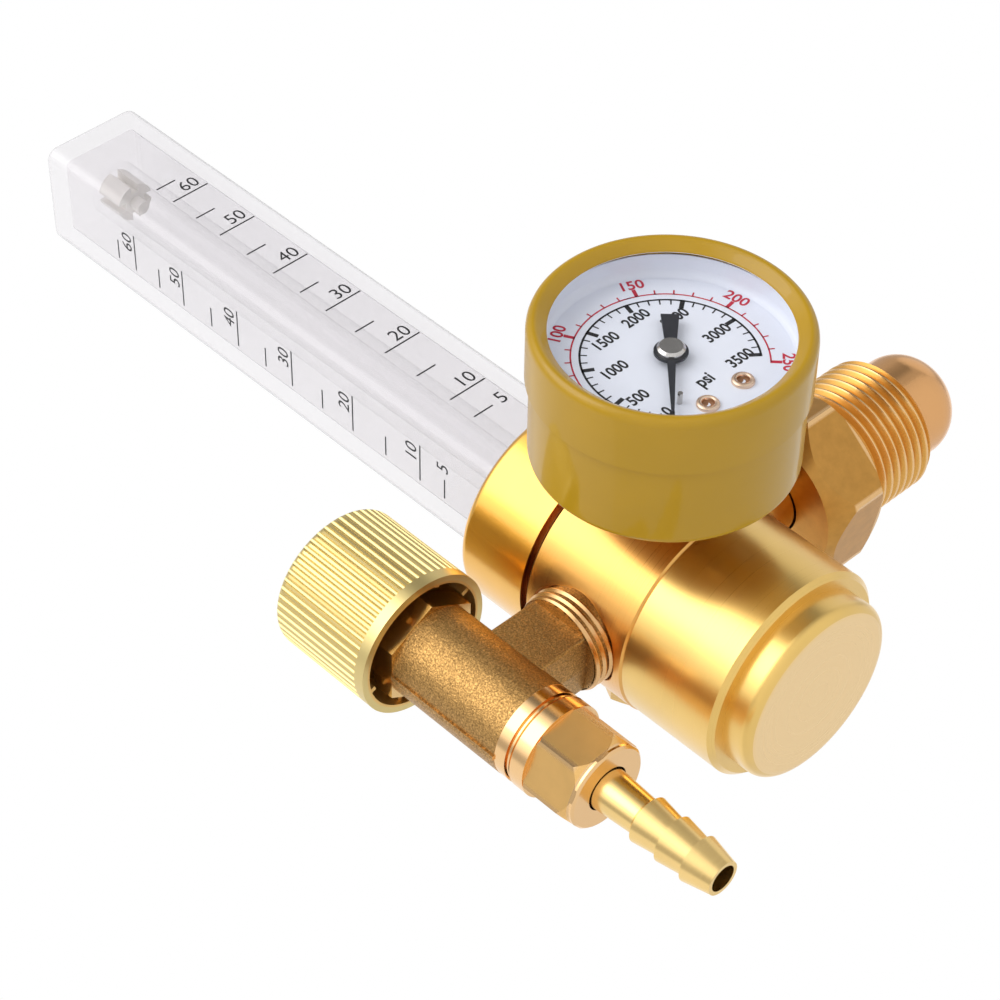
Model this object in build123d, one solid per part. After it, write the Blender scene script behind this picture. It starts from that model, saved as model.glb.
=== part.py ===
from build123d import *
import math
import os

# A gas flowmeter regulator: cylinder inlet, pressure gauge, fixed-pressure piston regulator,
# tapered flow tube with a ball float under a square clear cover, needle valve and hose barb.
# Lengths are in millimetres. Every piece is drawn about the body's own axis, with the four ports'
# axes at height zero: the inlet leaves along +X, the gauge along -Y, the outlet along -X and the
# relief valve along +Y. The flow tube stands along +Z. At the end all pieces are shifted so that
# the origin is the middle of the inlet nipple's round land.

# Clearances
free_gap = 0.3          # between pieces that move past each other freely
run_gap = 0.05          # radial, in running fits
seat_gap = 0.02         # radial, between a screwed or pressed piece and its hole

# Body
body_r = 19.25
body_half = 11.0        # ports' axis to each end of the middle section
body_edge = 0.5
rim_wall = 3.75         # collar's and bonnet's wall around the threaded spigots
spigot_len = 6.0
groove_w = 1.0          # open groove under the collar
groove_depth = 1.85
passage_r = 2.0         # high-pressure cross drilling
riser_y = 6.2           # low-pressure riser beside the axis
riser_r = 1.3
drop_r = 1.5            # return passage to the outlet
small_port_r = 6.6      # quarter-inch taper thread
outlet_port_r = 8.4     # three-eighths taper thread
relief_port_r = 5.0
port_depth = 9.75       # depth of the inlet and gauge ports below the body's round surface
outlet_depth = 6.25
relief_depth = 9.8
port_mouth = 0.9        # countersink at the outlet port

# Low-pressure chamber under the ports
chamber_r = 7.0
chamber_roof = 5.0      # below the ports' axis
guide_len = 5.5
guide_stand = 1.5       # how far the guide stands out below the body
nozzle_r = 2.9
nozzle_len = 3.4
nozzle_thread_r = 2.4
nozzle_thread_len = 2.6
nozzle_bore_r = 0.7

# Piston and spring in the bonnet
bonnet_step = 0.25      # bonnet's radius below the body's
bonnet_len = 19.3
bonnet_edge = 0.9
bonnet_wall = 6.0
bonnet_floor = 3.5
boss_step = 2.7
boss_len = 5.3
boss_edge = 1.9
vent_r = 0.8
piston_head_len = 4.2
piston_lift = 1.0
stem_r = 3.5
stem_bore_r = 1.2
cross_bore_r = 0.8
seat_disc_r = 2.35
seat_disc_len = 1.5
nozzle_gap = 1.3        # seat to nozzle when the piston is down
spring_wire_r = 1.0
spring_room = 3.4       # from the spring's middle to the bonnet's bore
spring_turns = 4

# Seal rings
ring_r = 0.9            # cross-section radius of the larger seal rings
small_ring_r = 0.6

# Cover, collar and flow tube
collar_lip = 4.6        # height above the cover's flange
collar_edge = 1.6
flange_len = 4.0
foot_wall = 3.5         # width of the foot's sealing face
foot_recess_len = 2.0
cover_side = 20.9
cover_corner = 2.5
cover_wall = 2.4
cover_inner_corner = 1.2
cover_len = 126.0       # above its flange
cover_end = 3.0
cover_edge = 1.0
seat_cup_r = 7.95
seat_collar_r = 6.9
seat_cup_floor = 3.0
seat_gallery = 1.5
seat_collar_len = 3.0
counterbore_len = 8.0
orifice_r = 1.6
tube_r = 5.5
tube_headroom = 3.5     # from the flow tube's end to the cover's inside
tube_bore_low = 3.2
tube_bore_high = 3.9
float_r = 2.9
stop_len = 6.0
stop_pin_r = 1.3
stop_pin_len = 2.5

# Inlet
nipple_r = 5.95
nipple_shoulder_r = 9.4
nipple_neck_cut = 0.3   # behind the land, inside the nut
shoulder_len = 4.0
land_gap = 0.3          # nut's end to the land
nose_reach = 12.8       # nose's tip beyond the nut
nose_round = 7.3
nipple_bore_r = 2.0
filter_r = 2.5
filter_len = 6.0
nut_gap = 8.05          # body's round surface to the nut
nut_hex_len = 12.2
nut_thread_len = 14.6
nut_flats = 28.6
nut_back_step = 1.0     # back face's radius inside the flats
nut_back_slope = 0.69   # rise of the long chamfer at the back
nut_front_slope = 1.3
nut_thread_r = 12.25
nut_thread_depth = 0.95
nut_relief_len = 1.6
nut_floor = 11.7        # thickness behind the nipple's shoulder
nut_turn = 20.0         # degrees, corner from the body's axis towards the gauge

# Relief valve
relief_flats = 16.0
relief_hex_len = 3.8
relief_bore_r = 3.4
relief_orifice_r = 1.2
relief_floor = 1.8
poppet_len = 2.6
poppet_nose_r = 2.2
poppet_nose_len = 1.0
relief_lift = 1.0
relief_wire_r = 0.35
relief_spring_r = 2.5
relief_turns = 5
relief_cap_len = 3.2
relief_slot = 1.0

# Gauge
socket_neck = 0.75      # body's round surface to the socket's hexagon
case_r = 21.6
case_depth = 15.3       # back of the case to the bezel
rim_step = 0.4
case_wall = 0.9
case_edge = 1.2
bezel_wall = 1.1
bezel_len = 10.5
bezel_lip = 1.1
bezel_lip_w = 3.5       # from the bezel's outside to its opening
bezel_edge = 1.4
lens_len = 2.0
dial_depth = 7.0        # below the bezel's front
dial_len = 0.6
dial_room = 0.5         # radial, to the case
socket_flats = 14.0
socket_hex_len = 8.6
socket_bore_r = 1.5
block_w = 18.0
block_room = 0.6        # radial, to the case
block_step = 1.2        # flat foot of the block inside its round
block_high = 7.0        # above the gauge's centre
block_len = 6.5
bourdon_room = 2.8      # from the tube's middle to the case
bourdon_w = 2.4         # across the flattened tube
bourdon_h = 5.6
bourdon_wall = 0.4
bourdon_level = 3.3     # tube's middle above the case's floor
bourdon_start = 245.0   # degrees, where the tube leaves the block
bourdon_sweep = 265.0   # degrees, clockwise
plate_len = 0.8
plate_space = 6.2       # clear height between the movement's plates
plate_half_w = 6.8
plate_margin = 4.1      # beyond the sector's pivot
plate_low = 7.6
pillar_r = 1.1
pillar_x = 5.2
pillar_low_y = 5.8
pillar_over = 2.1       # upper pillar beyond the sector's pivot
case_screw_r = 1.2
case_screw_head_r = 2.2
case_screw_x = 5.6
case_screw_y = 12.8
case_screw_len = 3.0    # in the block
case_screw_head_len = 1.2
post_r = 1.7
dial_screw_pcd_r = 11.0
dial_screw_half_angle = 20.6
dial_screw_head_r = 1.85
dial_screw_head_len = 0.9
dial_screw_shank_r = 0.9
dial_screw_shank_len = 2.6

# Movement
gear_module = 0.3
pinion_teeth = 10
sector_full_teeth = 80
pressure_angle = 25.0
tooth_addendum = 0.65   # in modules
tooth_dedendum = 1.05
tooth_backlash = 0.12   # share of a tooth's thickness that is left out
pointer_travel = 270.0
sector_spare = 7.0      # degrees of spare teeth at each end
sector_gear_len = 0.8
sector_hub_r = 2.2
sector_rim = 3.3        # from the window to the pitch circle
window_margin = 1.9
window_w = 3.6
pinion_len = 2.2
arbor_r = 0.55
pivot_r = 0.4
tail_len = 5.2
tail_w = 1.9
tail_angle = 13.0
tail_r = 1.3
link_pin_r = 0.5
link_len = 0.5
link_half_w = 0.9
hairspring_turns = 3
hairspring_inner_r = 1.0
hairspring_pitch = 0.75
hairspring_w = 0.22
hairspring_h = 0.5
hairspring_level = 4.6  # above the lower plate
gear_lift = 1.6         # sector above the lower plate

# Pointer
pointer_zero = 225.0    # degrees from the dial's right, counterclockwise
pointer_lift = 1.2      # above the dial
pointer_len = 0.4
pointer_room = 5.4      # from the tip to the bezel's opening
pointer_tip_w = 0.5
pointer_root_w = 1.5
pointer_tail_r = 8.6
pointer_tail_w = 2.9
pointer_hub_r = 2.7
cap_r = 2.25
cap_len = 1.0
zero_pin_r = 0.4
zero_pin_at_r = 10.2
zero_pin_angle = 6.5    # degrees beyond the pointer's rest
zero_pin_len = 2.6

# Needle valve, about its own upright axis
valve_reach = 18.65     # body's round surface to the valve's axis
barrel_r = 8.4
barrel_top = 13.0
barrel_bottom = 10.2    # below the ports' axis
parting_w = 0.9
parting_h = 0.3
branch_half_w = 5.95     # flat faces each side of the parting line
branch_corner_z = 5.8
branch_parting_z = 6.4
branch_edge = 0.5
branch_gap = 3.05       # body's round surface to the branch
valve_ring_r = 8.35
valve_ring_len = 2.2
outlet_neck_r = 7.6
outlet_neck_len = 1.0
outlet_ridge_r = 8.05
outlet_ridge_w = 0.35
outlet_thread_r = 6.4
outlet_len = 9.3        # below the barrel
valve_chamber_r = 4.0
valve_floor = 3.0       # needle seat below the ports' axis
valve_orifice_r = 1.5
valve_orifice_len = 2.5
outlet_bore_r = 3.0
branch_bore_r = 2.3
cone_r = 5.2
packing_depth = 4.0
packing_thread_r = 6.0
packing_flats = 17.0
packing_hex_len = 4.5
packing_turn = -29.0
packing_boss_r = 6.0
packing_boss_len = 2.5
packing_chamfer_r = 8.6
valve_stem_r = 3.0
stem_collar_r = 3.9
stem_collar_low = 4.3
stem_collar_len = 1.4
stem_seal_at = 3.1
stem_square = 4.2
stem_square_len = 5.8
needle_tip_r = 0.5
needle_len = 3.4
thread_pitch = 1.0      # of the valve stem
valve_turns = 3.0

# Knob
knob_r = 13.0
knob_gap = 1.9          # barrel's end to the knob
knob_len = 21.5
knob_band = 2.0
knob_edge = 1.5
flute_count = 54
flute_r = 0.55
knob_wall = 1.5
knob_top_wall = 3.2
hub_r = 5.4
hub_len = 8.0
rib_count = 8
rib_w = 0.9
rib_h = 1.25
knob_screw_r = 1.5
knob_screw_head_r = 2.8
knob_screw_head_len = 1.8
knob_screw_len = 5.0
knob_screw_recess = 0.8

# Hose nut and barb
hose_nut_gap = 3.4      # barrel's end to the nut
hose_nut_ring_r = 8.4
hose_nut_ring_len = 2.8
hose_nut_flats = 15.0
hose_nut_turn = -7.0
hose_nut_hex_len = 10.4  # to the end of its corners
hose_nut_nose_r = 7.6
hose_nut_cone_len = 1.7
hose_nut_nose_len = 0.8
hose_nut_floor = 4.0
barb_flange_r = 6.1
barb_cone_len = 1.6
barb_neck_r = 3.7
barb_root_r = 3.2
barb_neck_len = 7.9     # below the nut
barb_rise = 0.7
barb_pitch = 5.15
barb_count = 3
barb_crest_r = 4.12
barb_valley_r = 3.35
barb_tip_r = 3.05
barb_bore_r = 2.35

# Radii and reaches that follow from the sizes above
spigot_r = body_r - rim_wall
groove_r = body_r - groove_depth
bonnet_r = body_r - bonnet_step
bonnet_bore_r = bonnet_r - bonnet_wall
boss_r = bonnet_r - boss_step
spring_mean_r = bonnet_bore_r - spring_room
flange_r = spigot_r - free_gap
foot_recess_r = spigot_r - foot_wall
drop_x = foot_recess_r - drop_r - free_gap
cover_half_diagonal = cover_side / math.sqrt(2) - cover_corner * (math.sqrt(2) - 1)
collar_mouth_r = cover_half_diagonal + free_gap

nut_back = body_r + nut_gap
nut_hex_end = nut_back + nut_hex_len
nut_end = nut_hex_end + nut_relief_len + nut_thread_len
nut_back_r = nut_flats / 2 - nut_back_step
nut_relief_r = nut_thread_r - nut_thread_depth
nipple_tip = nut_end + nose_reach

case_bottom = body_r + socket_neck + socket_hex_len
case_rim_r = case_r - rim_step
case_bore_r = case_rim_r - case_wall
bezel_low = case_bottom + case_depth
bezel_top = bezel_low + bezel_len
bezel_r = case_rim_r + bezel_wall
bezel_open_r = bezel_r - bezel_lip_w
dial_top = bezel_top - dial_depth
dial_r = case_bore_r - dial_room
block_r = case_bore_r - block_room
block_low = block_r - block_step
block_base = case_bottom + case_wall
block_top = block_base + block_len
bourdon_mean_r = case_bore_r - bourdon_room
bourdon_mid = block_base + bourdon_level
pointer_level = dial_top + pointer_lift
pointer_tip_r = bezel_open_r - pointer_room

valve_x = body_r + valve_reach
branch_start = body_r + branch_gap
needle_r = valve_orifice_r - 1.6 * run_gap
outlet_end = barrel_bottom + outlet_len
knob_low = barrel_top + knob_gap
knob_top = knob_low + knob_len
knob_ceiling = knob_top - knob_top_wall
head_seat = knob_top - knob_screw_head_len
stem_top = head_seat - knob_screw_recess
stem_shoulder = stem_top - stem_square_len
hose_nut_start = barrel_bottom + hose_nut_gap
hose_nut_corner_end = hose_nut_start + hose_nut_hex_len
hose_nut_cone_end = hose_nut_corner_end + hose_nut_cone_len
hose_nut_end = hose_nut_cone_end + hose_nut_nose_len
hose_nut_inner_end = hose_nut_end - hose_nut_floor
barb_root_at = hose_nut_end + barb_neck_len
barb_first_crest = barb_root_at + barb_rise

# The inlet nipple's round land between the nut and the nose, and the origin in its middle
land_start = nut_end + land_gap
land_end = nipple_tip - nose_round
origin_x = (land_start + land_end) / 2

TO_INLET = Rot(0, 90, 0)
TO_OUTLET = Rot(0, -90, 0)
TO_GAUGE = Rot(90, 0, 0)
TO_RELIEF = Rot(-90, 0, 0)
AT_VALVE = Pos(-valve_x, 0, 0)


def turned(points):
    """A solid turned about Z from an outline of (radius, height) points."""
    outline = Polyline([(r, 0, z) for r, z in points], close=True)
    return revolve(make_face(outline), Axis.Z)


def rod(radius, low, high):
    """A round bar on the Z axis between two heights."""
    return Pos(0, 0, (low + high) / 2) * Cylinder(radius, high - low)


def tube(outer, inner, low, high):
    """A plain ring on the Z axis."""
    return rod(outer, low, high) - rod(inner, low, high)


def hexagon(flats, low, high, turn=0.0):
    """A six-sided bar on the Z axis, with a corner at the given angle."""
    section = RegularPolygon(flats / 2, 6, major_radius=False)
    return Pos(0, 0, low) * Rot(0, 0, turn) * extrude(section, high - low)


def seal_ring(centre_r, section_r, height):
    """A round seal ring."""
    return Pos(0, 0, height) * Torus(centre_r, section_r)


def coil(mean_r, wire_r, low, high, turns):
    """A round-wire compression spring between two flat seats, with its ends ground flat."""
    rise = high - low - wire_r
    path = Helix(pitch=rise / turns, height=rise, radius=mean_r)
    wire = sweep(Plane(path @ 0, z_dir=path % 0) * Circle(wire_r), path)
    wire = Pos(0, 0, low + wire_r / 2) * wire
    window = rod(mean_r + 2 * wire_r, low, high)
    return wire & window


def polar(radius, degrees):
    """A point in the plane at a radius and an angle."""
    angle = math.radians(degrees)
    return (radius * math.cos(angle), radius * math.sin(angle))


# Heights that follow from the sizes above
spigot_low = -body_half - spigot_len
spigot_high = body_half + groove_w + spigot_len
guide_low = spigot_low - guide_stand
guide_top = guide_low + guide_len
bonnet_rim = -body_half - bonnet_len
bonnet_bottom = bonnet_rim - boss_len
bonnet_inner_floor = bonnet_bottom + bonnet_floor
piston_low = bonnet_inner_floor + free_gap
piston_head_top = piston_low + piston_head_len
nozzle_lip = -chamber_roof - nozzle_len
stem_tip = nozzle_lip - nozzle_gap
flange_top = spigot_high + flange_len
collar_low = body_half + groove_w
collar_top = flange_top + collar_lip
cover_top = flange_top + cover_len
tube_top = cover_top - cover_end - tube_headroom
stop_bottom = tube_top - stop_len - stop_pin_len
cup_low = spigot_high - counterbore_len + seat_gallery
cup_floor = cup_low + seat_cup_floor
seal_ring_centre = (foot_recess_r + spigot_r) / 2
float_rest = cup_floor + math.sqrt(float_r**2 - orifice_r**2) + free_gap
float_travel = stop_bottom - free_gap - float_r - float_rest
sector_swing = pointer_travel * pinion_teeth / sector_full_teeth

# The gauge movement's levels and the sector's pivot, in the gauge's own frame
plate_base = block_top
plate_top = plate_base + plate_len
upper_base = plate_top + plate_space
gear_level = plate_top + gear_lift
link_level = gear_level + sector_gear_len + free_gap
pivot_at = (0.0, gear_module * (pinion_teeth + sector_full_teeth) / 2)
plate_high = pivot_at[1] + plate_margin
pillar_high_y = pivot_at[1] + pillar_over


def body_block():
    """The turned middle block with its ports and gas passages."""
    block = rod(body_r, -body_half, body_half)
    block = chamfer(block.edges().filter_by(GeomType.CIRCLE), body_edge)
    block += rod(groove_r, body_half, body_half + groove_w)
    block += rod(spigot_r, spigot_low, -body_half)
    block += rod(spigot_r, body_half + groove_w, spigot_high)

    # Chamber for the piston's tip, its nozzle thread and the high-pressure drillings
    block -= rod(chamber_r, spigot_low, -chamber_roof)
    block -= rod(nozzle_thread_r, -chamber_roof, -chamber_roof + nozzle_thread_len)
    block -= rod(nozzle_bore_r + seat_gap, -chamber_roof, 0)
    block -= TO_INLET * rod(passage_r, -passage_r / 2, body_r)
    block -= TO_GAUGE * rod(socket_bore_r, -passage_r / 2, body_r)

    # Ports
    block -= TO_INLET * rod(small_port_r, body_r - port_depth, body_r)
    block -= TO_GAUGE * rod(small_port_r, body_r - port_depth, body_r)
    block -= TO_OUTLET * rod(outlet_port_r, body_r - outlet_depth, body_r)
    mouth = Pos(0, 0, body_r - port_mouth / 2 - body_edge) * Cone(
        outlet_port_r, outlet_port_r + port_mouth, port_mouth
    )
    block -= TO_OUTLET * (mouth + rod(outlet_port_r + port_mouth, body_r - body_edge, body_r))
    block -= TO_OUTLET * rod(2 * drop_r, drop_x - 2 * drop_r, body_r - outlet_depth)
    block -= TO_RELIEF * rod(relief_port_r, body_r - relief_depth, body_r)
    block -= TO_RELIEF * rod(relief_orifice_r, riser_y, body_r - relief_depth)

    # Low-pressure riser, counterbore for the tube seat and the return to the outlet
    block -= rod(seat_cup_r + seat_gap, spigot_high - counterbore_len, spigot_high)
    block -= Pos(0, riser_y, 0) * rod(riser_r, -chamber_roof - riser_r, spigot_high - counterbore_len)
    block -= Pos(-drop_x, 0, 0) * rod(drop_r, 0, spigot_high)

    # Groove for the cover's seal ring
    groove = tube(
        seal_ring_centre + ring_r, seal_ring_centre - ring_r, spigot_high - 2 * ring_r, spigot_high
    )
    return block - groove


def bottom_bonnet():
    """The cup that holds the piston, with a stepped round end."""
    shell = turned(
        [
            (0, bonnet_bottom),
            (boss_r, bonnet_bottom),
            (boss_r, bonnet_rim),
            (bonnet_r - bonnet_edge, bonnet_rim),
            (bonnet_r, bonnet_rim + bonnet_edge),
            (bonnet_r, -body_half),
            (0, -body_half),
        ]
    )
    shell = fillet(shell.edges().filter_by(GeomType.CIRCLE).sort_by(Axis.Z)[0], boss_edge)
    shell -= rod(bonnet_bore_r, bonnet_inner_floor, -body_half)
    shell -= rod(spigot_r + seat_gap, spigot_low, -body_half)
    vent_z = (piston_head_top + spigot_low) / 2
    return shell - Pos(0, 0, vent_z) * TO_RELIEF * rod(vent_r, 0, bonnet_r)


def nozzle():
    """The screwed high-pressure nozzle that the piston's seat closes."""
    piece = rod(nozzle_thread_r - seat_gap, -chamber_roof, -chamber_roof + nozzle_thread_len)
    piece += turned(
        [
            (0, -chamber_roof),
            (nozzle_r, -chamber_roof),
            (nozzle_r, nozzle_lip + nozzle_len / 2),
            (2 * nozzle_bore_r, nozzle_lip),
            (0, nozzle_lip),
        ]
    )
    return piece - rod(nozzle_bore_r, nozzle_lip, -chamber_roof + nozzle_thread_len)


def stem_guide():
    """The bush that guides the piston's stem and holds its seal ring."""
    guide = tube(chamber_r - seat_gap, stem_r + run_gap, guide_low, guide_top)
    middle = (guide_low + guide_top) / 2
    groove = tube(
        stem_r + 2 * small_ring_r, stem_r, middle - small_ring_r, middle + small_ring_r
    )
    return guide - groove


def stem_guide_seal():
    """The seal ring inside the guide."""
    middle = (guide_low + guide_top) / 2
    return seal_ring(stem_r + run_gap + small_ring_r, small_ring_r - run_gap, middle)


def piston():
    """The regulator's piston: a broad head and a hollow stem."""
    head = rod(bonnet_bore_r - run_gap, piston_low, piston_head_top)
    middle = (piston_low + piston_head_top) / 2
    head -= tube(
        bonnet_bore_r, bonnet_bore_r - 2 * ring_r, middle - ring_r, middle + ring_r
    )
    body = head + rod(stem_r, piston_head_top, stem_tip)
    body -= rod(seat_disc_r + seat_gap, stem_tip - seat_disc_len, stem_tip)
    cross_z = guide_top + cross_bore_r
    body -= rod(stem_bore_r, piston_low, cross_z)
    return body - Pos(0, 0, cross_z) * TO_INLET * rod(cross_bore_r, -stem_r, stem_r)


def piston_seal():
    """The seal ring around the piston's head."""
    middle = (piston_low + piston_head_top) / 2
    return seal_ring(bonnet_bore_r - ring_r - run_gap, ring_r - run_gap, middle)


def cover_collar():
    """The ring nut that clamps the clear cover's foot."""
    ring = rod(body_r, collar_low, collar_top)
    ring = fillet(ring.edges().filter_by(GeomType.CIRCLE).sort_by(Axis.Z)[-1], collar_edge)
    ring -= rod(collar_mouth_r, collar_low, collar_top)
    return ring - rod(spigot_r + seat_gap, collar_low, flange_top + seat_gap)


def flow_tube_cover():
    """The clear square cover, closed at its top, with a round foot."""
    height = cover_top - flange_top
    square = extrude(RectangleRounded(cover_side, cover_side, cover_corner), height)
    square = Pos(0, 0, flange_top) * square
    square = fillet(square.faces().sort_by(Axis.Z)[-1].edges(), cover_edge)
    shell = square + rod(flange_r, spigot_high, flange_top)
    shell -= rod(foot_recess_r, spigot_high, spigot_high + foot_recess_len)
    inner = cover_side - 2 * cover_wall
    cavity_low = spigot_high + foot_recess_len
    cavity = extrude(
        RectangleRounded(inner, inner, cover_inner_corner), cover_top - cover_end - cavity_low
    )
    return shell - Pos(0, 0, cavity_low) * cavity


def tube_seat():
    """The brass cup that holds the flow tube's foot and seats the float."""
    cup = rod(seat_cup_r, cup_low, spigot_high)
    cup += rod(seat_collar_r, spigot_high, spigot_high + seat_collar_len)
    cup -= rod(tube_r + seat_gap, cup_floor, spigot_high + seat_collar_len)
    cup -= rod(orifice_r, cup_low, cup_floor)
    groove_z = cup_floor + 2 * small_ring_r
    return cup - tube(
        tube_r + 1.6 * small_ring_r, tube_r, groove_z - small_ring_r, groove_z + small_ring_r
    )


def tube_seal():
    """The seal ring around the flow tube's foot."""
    section = 0.8 * small_ring_r
    return seal_ring(tube_r + seat_gap + section, section - seat_gap, cup_floor + 2 * small_ring_r)


def flow_tube():
    """The clear inner tube with its slowly widening bore."""
    outside = rod(tube_r, cup_floor, tube_top)
    bore = Pos(0, 0, (cup_floor + tube_top) / 2) * Cone(
        tube_bore_low, tube_bore_high, tube_top - cup_floor
    )
    return outside - bore


def bore_at(height):
    """The flow tube's bore radius at a height."""
    share = (height - cup_floor) / (tube_top - cup_floor)
    return tube_bore_low + share * (tube_bore_high - tube_bore_low)


def float_stop():
    """The notched plug that keeps the float in the tube."""
    low = stop_bottom + stop_pin_len
    high = low + stop_len
    plug = Pos(0, 0, (low + high) / 2) * Cone(
        bore_at(low) - seat_gap, bore_at(high) - seat_gap, stop_len
    )
    notch = Pos(0, 0, (low + high) / 2) * Box(4 * tube_bore_high, 1.6, stop_len)
    bars = notch + Rot(0, 0, 90) * notch
    plug -= bars - rod(tube_bore_low - 1.0, low, high)
    pin = rod(stop_pin_r, stop_bottom, low)
    return plug + pin


def inlet_nipple():
    """The inlet stem with its shoulder and bullet nose, along its own Z."""
    thread_start = body_r - port_depth + seat_gap
    shoulder = nut_back + nut_floor + free_gap
    piece = turned(
        [
            (0, thread_start),
            (small_port_r - seat_gap, thread_start),
            (small_port_r - seat_gap, body_r - body_edge),
            (nipple_r, body_r - body_edge),
            (nipple_r, shoulder),
            (nipple_shoulder_r, shoulder),
            (nipple_shoulder_r, shoulder + shoulder_len),
            (nipple_shoulder_r - nipple_neck_cut, shoulder + shoulder_len),
            (nipple_shoulder_r - nipple_neck_cut, land_start),
            (nipple_shoulder_r, land_start),
            (nipple_shoulder_r, nipple_tip),
            (0, nipple_tip),
        ]
    )
    piece = fillet(piece.edges().filter_by(GeomType.CIRCLE).sort_by(Axis.Z)[-1], nose_round)
    piece -= rod(nipple_bore_r, thread_start, nipple_tip)
    piece -= rod(filter_r + seat_gap, nipple_tip - filter_len - 2 * free_gap, nipple_tip)
    return TO_INLET * piece


def inlet_filter():
    """The sintered filter plug in the nose."""
    high = nipple_tip - free_gap
    plug = rod(filter_r, high - filter_len, high)
    return TO_INLET * plug


def inlet_nut():
    """The cylinder nut: hexagon with a long back chamfer, and the outside thread's envelope."""
    corner_r = nut_flats / 2 / math.cos(math.pi / 6)
    back_end = nut_back + (corner_r - nut_back_r) / nut_back_slope
    front_r = nut_flats / 2
    front_start = nut_hex_end - (corner_r - front_r) / nut_front_slope
    envelope = turned(
        [
            (0, nut_back),
            (nut_back_r, nut_back),
            (corner_r, back_end),
            (corner_r, front_start),
            (front_r, nut_hex_end),
            (0, nut_hex_end),
        ]
    )
    nut = hexagon(nut_flats, nut_back, nut_hex_end) & envelope
    nut = Rot(0, 0, -nut_turn) * nut
    nut += rod(nut_relief_r, nut_hex_end, nut_hex_end + nut_relief_len)
    thread = rod(nut_thread_r, nut_hex_end + nut_relief_len, nut_end)
    thread = chamfer(thread.edges().filter_by(GeomType.CIRCLE), nut_thread_r - nut_relief_r)
    nut += thread
    nut -= rod(nipple_r + free_gap, nut_back, nut_end)
    nut -= rod(nipple_shoulder_r + free_gap, nut_back + nut_floor, nut_end)
    return TO_INLET * nut


def relief_body():
    """The relief valve's screwed body."""
    low = body_r - relief_depth + seat_gap
    piece = rod(relief_port_r - seat_gap, low, body_r)
    corner_r = relief_flats / 2 / math.cos(math.pi / 6)
    high = body_r + relief_hex_len
    envelope = turned(
        [
            (0, body_r),
            (corner_r, body_r),
            (corner_r, high - 0.6),
            (relief_flats / 2, high),
            (0, high),
        ]
    )
    piece += hexagon(relief_flats, body_r, high) & envelope
    piece -= rod(relief_bore_r, low + relief_floor, high)
    return TO_RELIEF * (piece - rod(relief_orifice_r, low, high))


def relief_levels():
    """Heights of the relief valve's seat face, poppet back and cap."""
    seat = body_r - relief_depth + seat_gap + relief_floor
    poppet_back = seat + free_gap + poppet_nose_len + poppet_len
    cap_low = body_r + relief_hex_len - relief_cap_len
    return seat, poppet_back, cap_low


def relief_poppet():
    """The relief valve's poppet with its nose."""
    seat, back, _ = relief_levels()
    flange = rod(relief_bore_r - 2 * run_gap, back - poppet_len, back)
    nose = rod(poppet_nose_r, seat + free_gap, back - poppet_len)
    flats = Pos(0, 0, back - poppet_len / 2) * Box(4 * relief_bore_r, 2.4, poppet_len)
    passage = rod(relief_bore_r, back - poppet_len, back) - rod(relief_bore_r - 0.8, back - poppet_len, back)
    return TO_RELIEF * (flange - (flats & passage) + nose)


def relief_spring():
    """The relief valve's spring."""
    _, back, cap_low = relief_levels()
    return TO_RELIEF * coil(relief_spring_r, relief_wire_r, back, cap_low, relief_turns)


def relief_cap():
    """The slotted, drilled screw that sets the relief pressure."""
    _, _, low = relief_levels()
    high = body_r + relief_hex_len
    cap = rod(relief_bore_r - seat_gap, low, high)
    cap -= Pos(0, 0, high - relief_slot / 2) * Box(3 * relief_bore_r, relief_slot, relief_slot)
    return TO_RELIEF * (cap - rod(relief_orifice_r, low, high))


def gauge_case():
    """The gauge's drawn cup with its stepped rim."""
    rim_top = bezel_top - bezel_lip - lens_len
    cup = turned(
        [
            (0, case_bottom),
            (case_r, case_bottom),
            (case_r, bezel_low - seat_gap),
            (case_rim_r, bezel_low - seat_gap),
            (case_rim_r, rim_top),
            (0, rim_top),
        ]
    )
    cup = fillet(cup.edges().filter_by(GeomType.CIRCLE).sort_by(Axis.Z)[0], case_edge)
    cup -= rod(case_bore_r, block_base, rim_top)
    corner_r = socket_flats / 2 / math.cos(math.pi / 6)
    cup -= rod(corner_r + seat_gap, case_bottom, block_base)
    for side in (-1, 1):
        hole = rod(case_screw_r + seat_gap, case_bottom, block_base)
        cup -= Pos(side * case_screw_x, -case_screw_y, 0) * hole
    return TO_GAUGE * cup


def case_screws():
    """The two screws that hold the case to the socket's block."""
    head = rod(case_screw_head_r, case_bottom - case_screw_head_len, case_bottom)
    shank = rod(case_screw_r, case_bottom, block_base + case_screw_len)
    slot = Pos(0, 0, case_bottom - case_screw_head_len) * Box(2 * case_screw_head_r, 0.6, 1.0)
    screw = head + shank - slot
    both = [Pos(side * case_screw_x, -case_screw_y, 0) * screw for side in (-1, 1)]
    return TO_GAUGE * Compound(children=both)


def gauge_bezel():
    """The rolled ring that holds the lens."""
    ring = rod(bezel_r, bezel_low, bezel_top)
    ring = fillet(ring.edges().filter_by(GeomType.CIRCLE).sort_by(Axis.Z)[-1], bezel_edge)
    ring -= rod(bezel_open_r, bezel_low, bezel_top)
    ring -= rod(case_rim_r + seat_gap, bezel_low, bezel_top - bezel_lip)
    return TO_GAUGE * ring


def gauge_lens():
    """The flat window."""
    return TO_GAUGE * rod(case_rim_r, bezel_top - bezel_lip - lens_len, bezel_top - bezel_lip)


def screw_places():
    """The dial screws' places, one each side of the dial's foot."""
    return [
        polar(dial_screw_pcd_r, -90 + side * dial_screw_half_angle) for side in (-1, 1)
    ]


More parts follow.
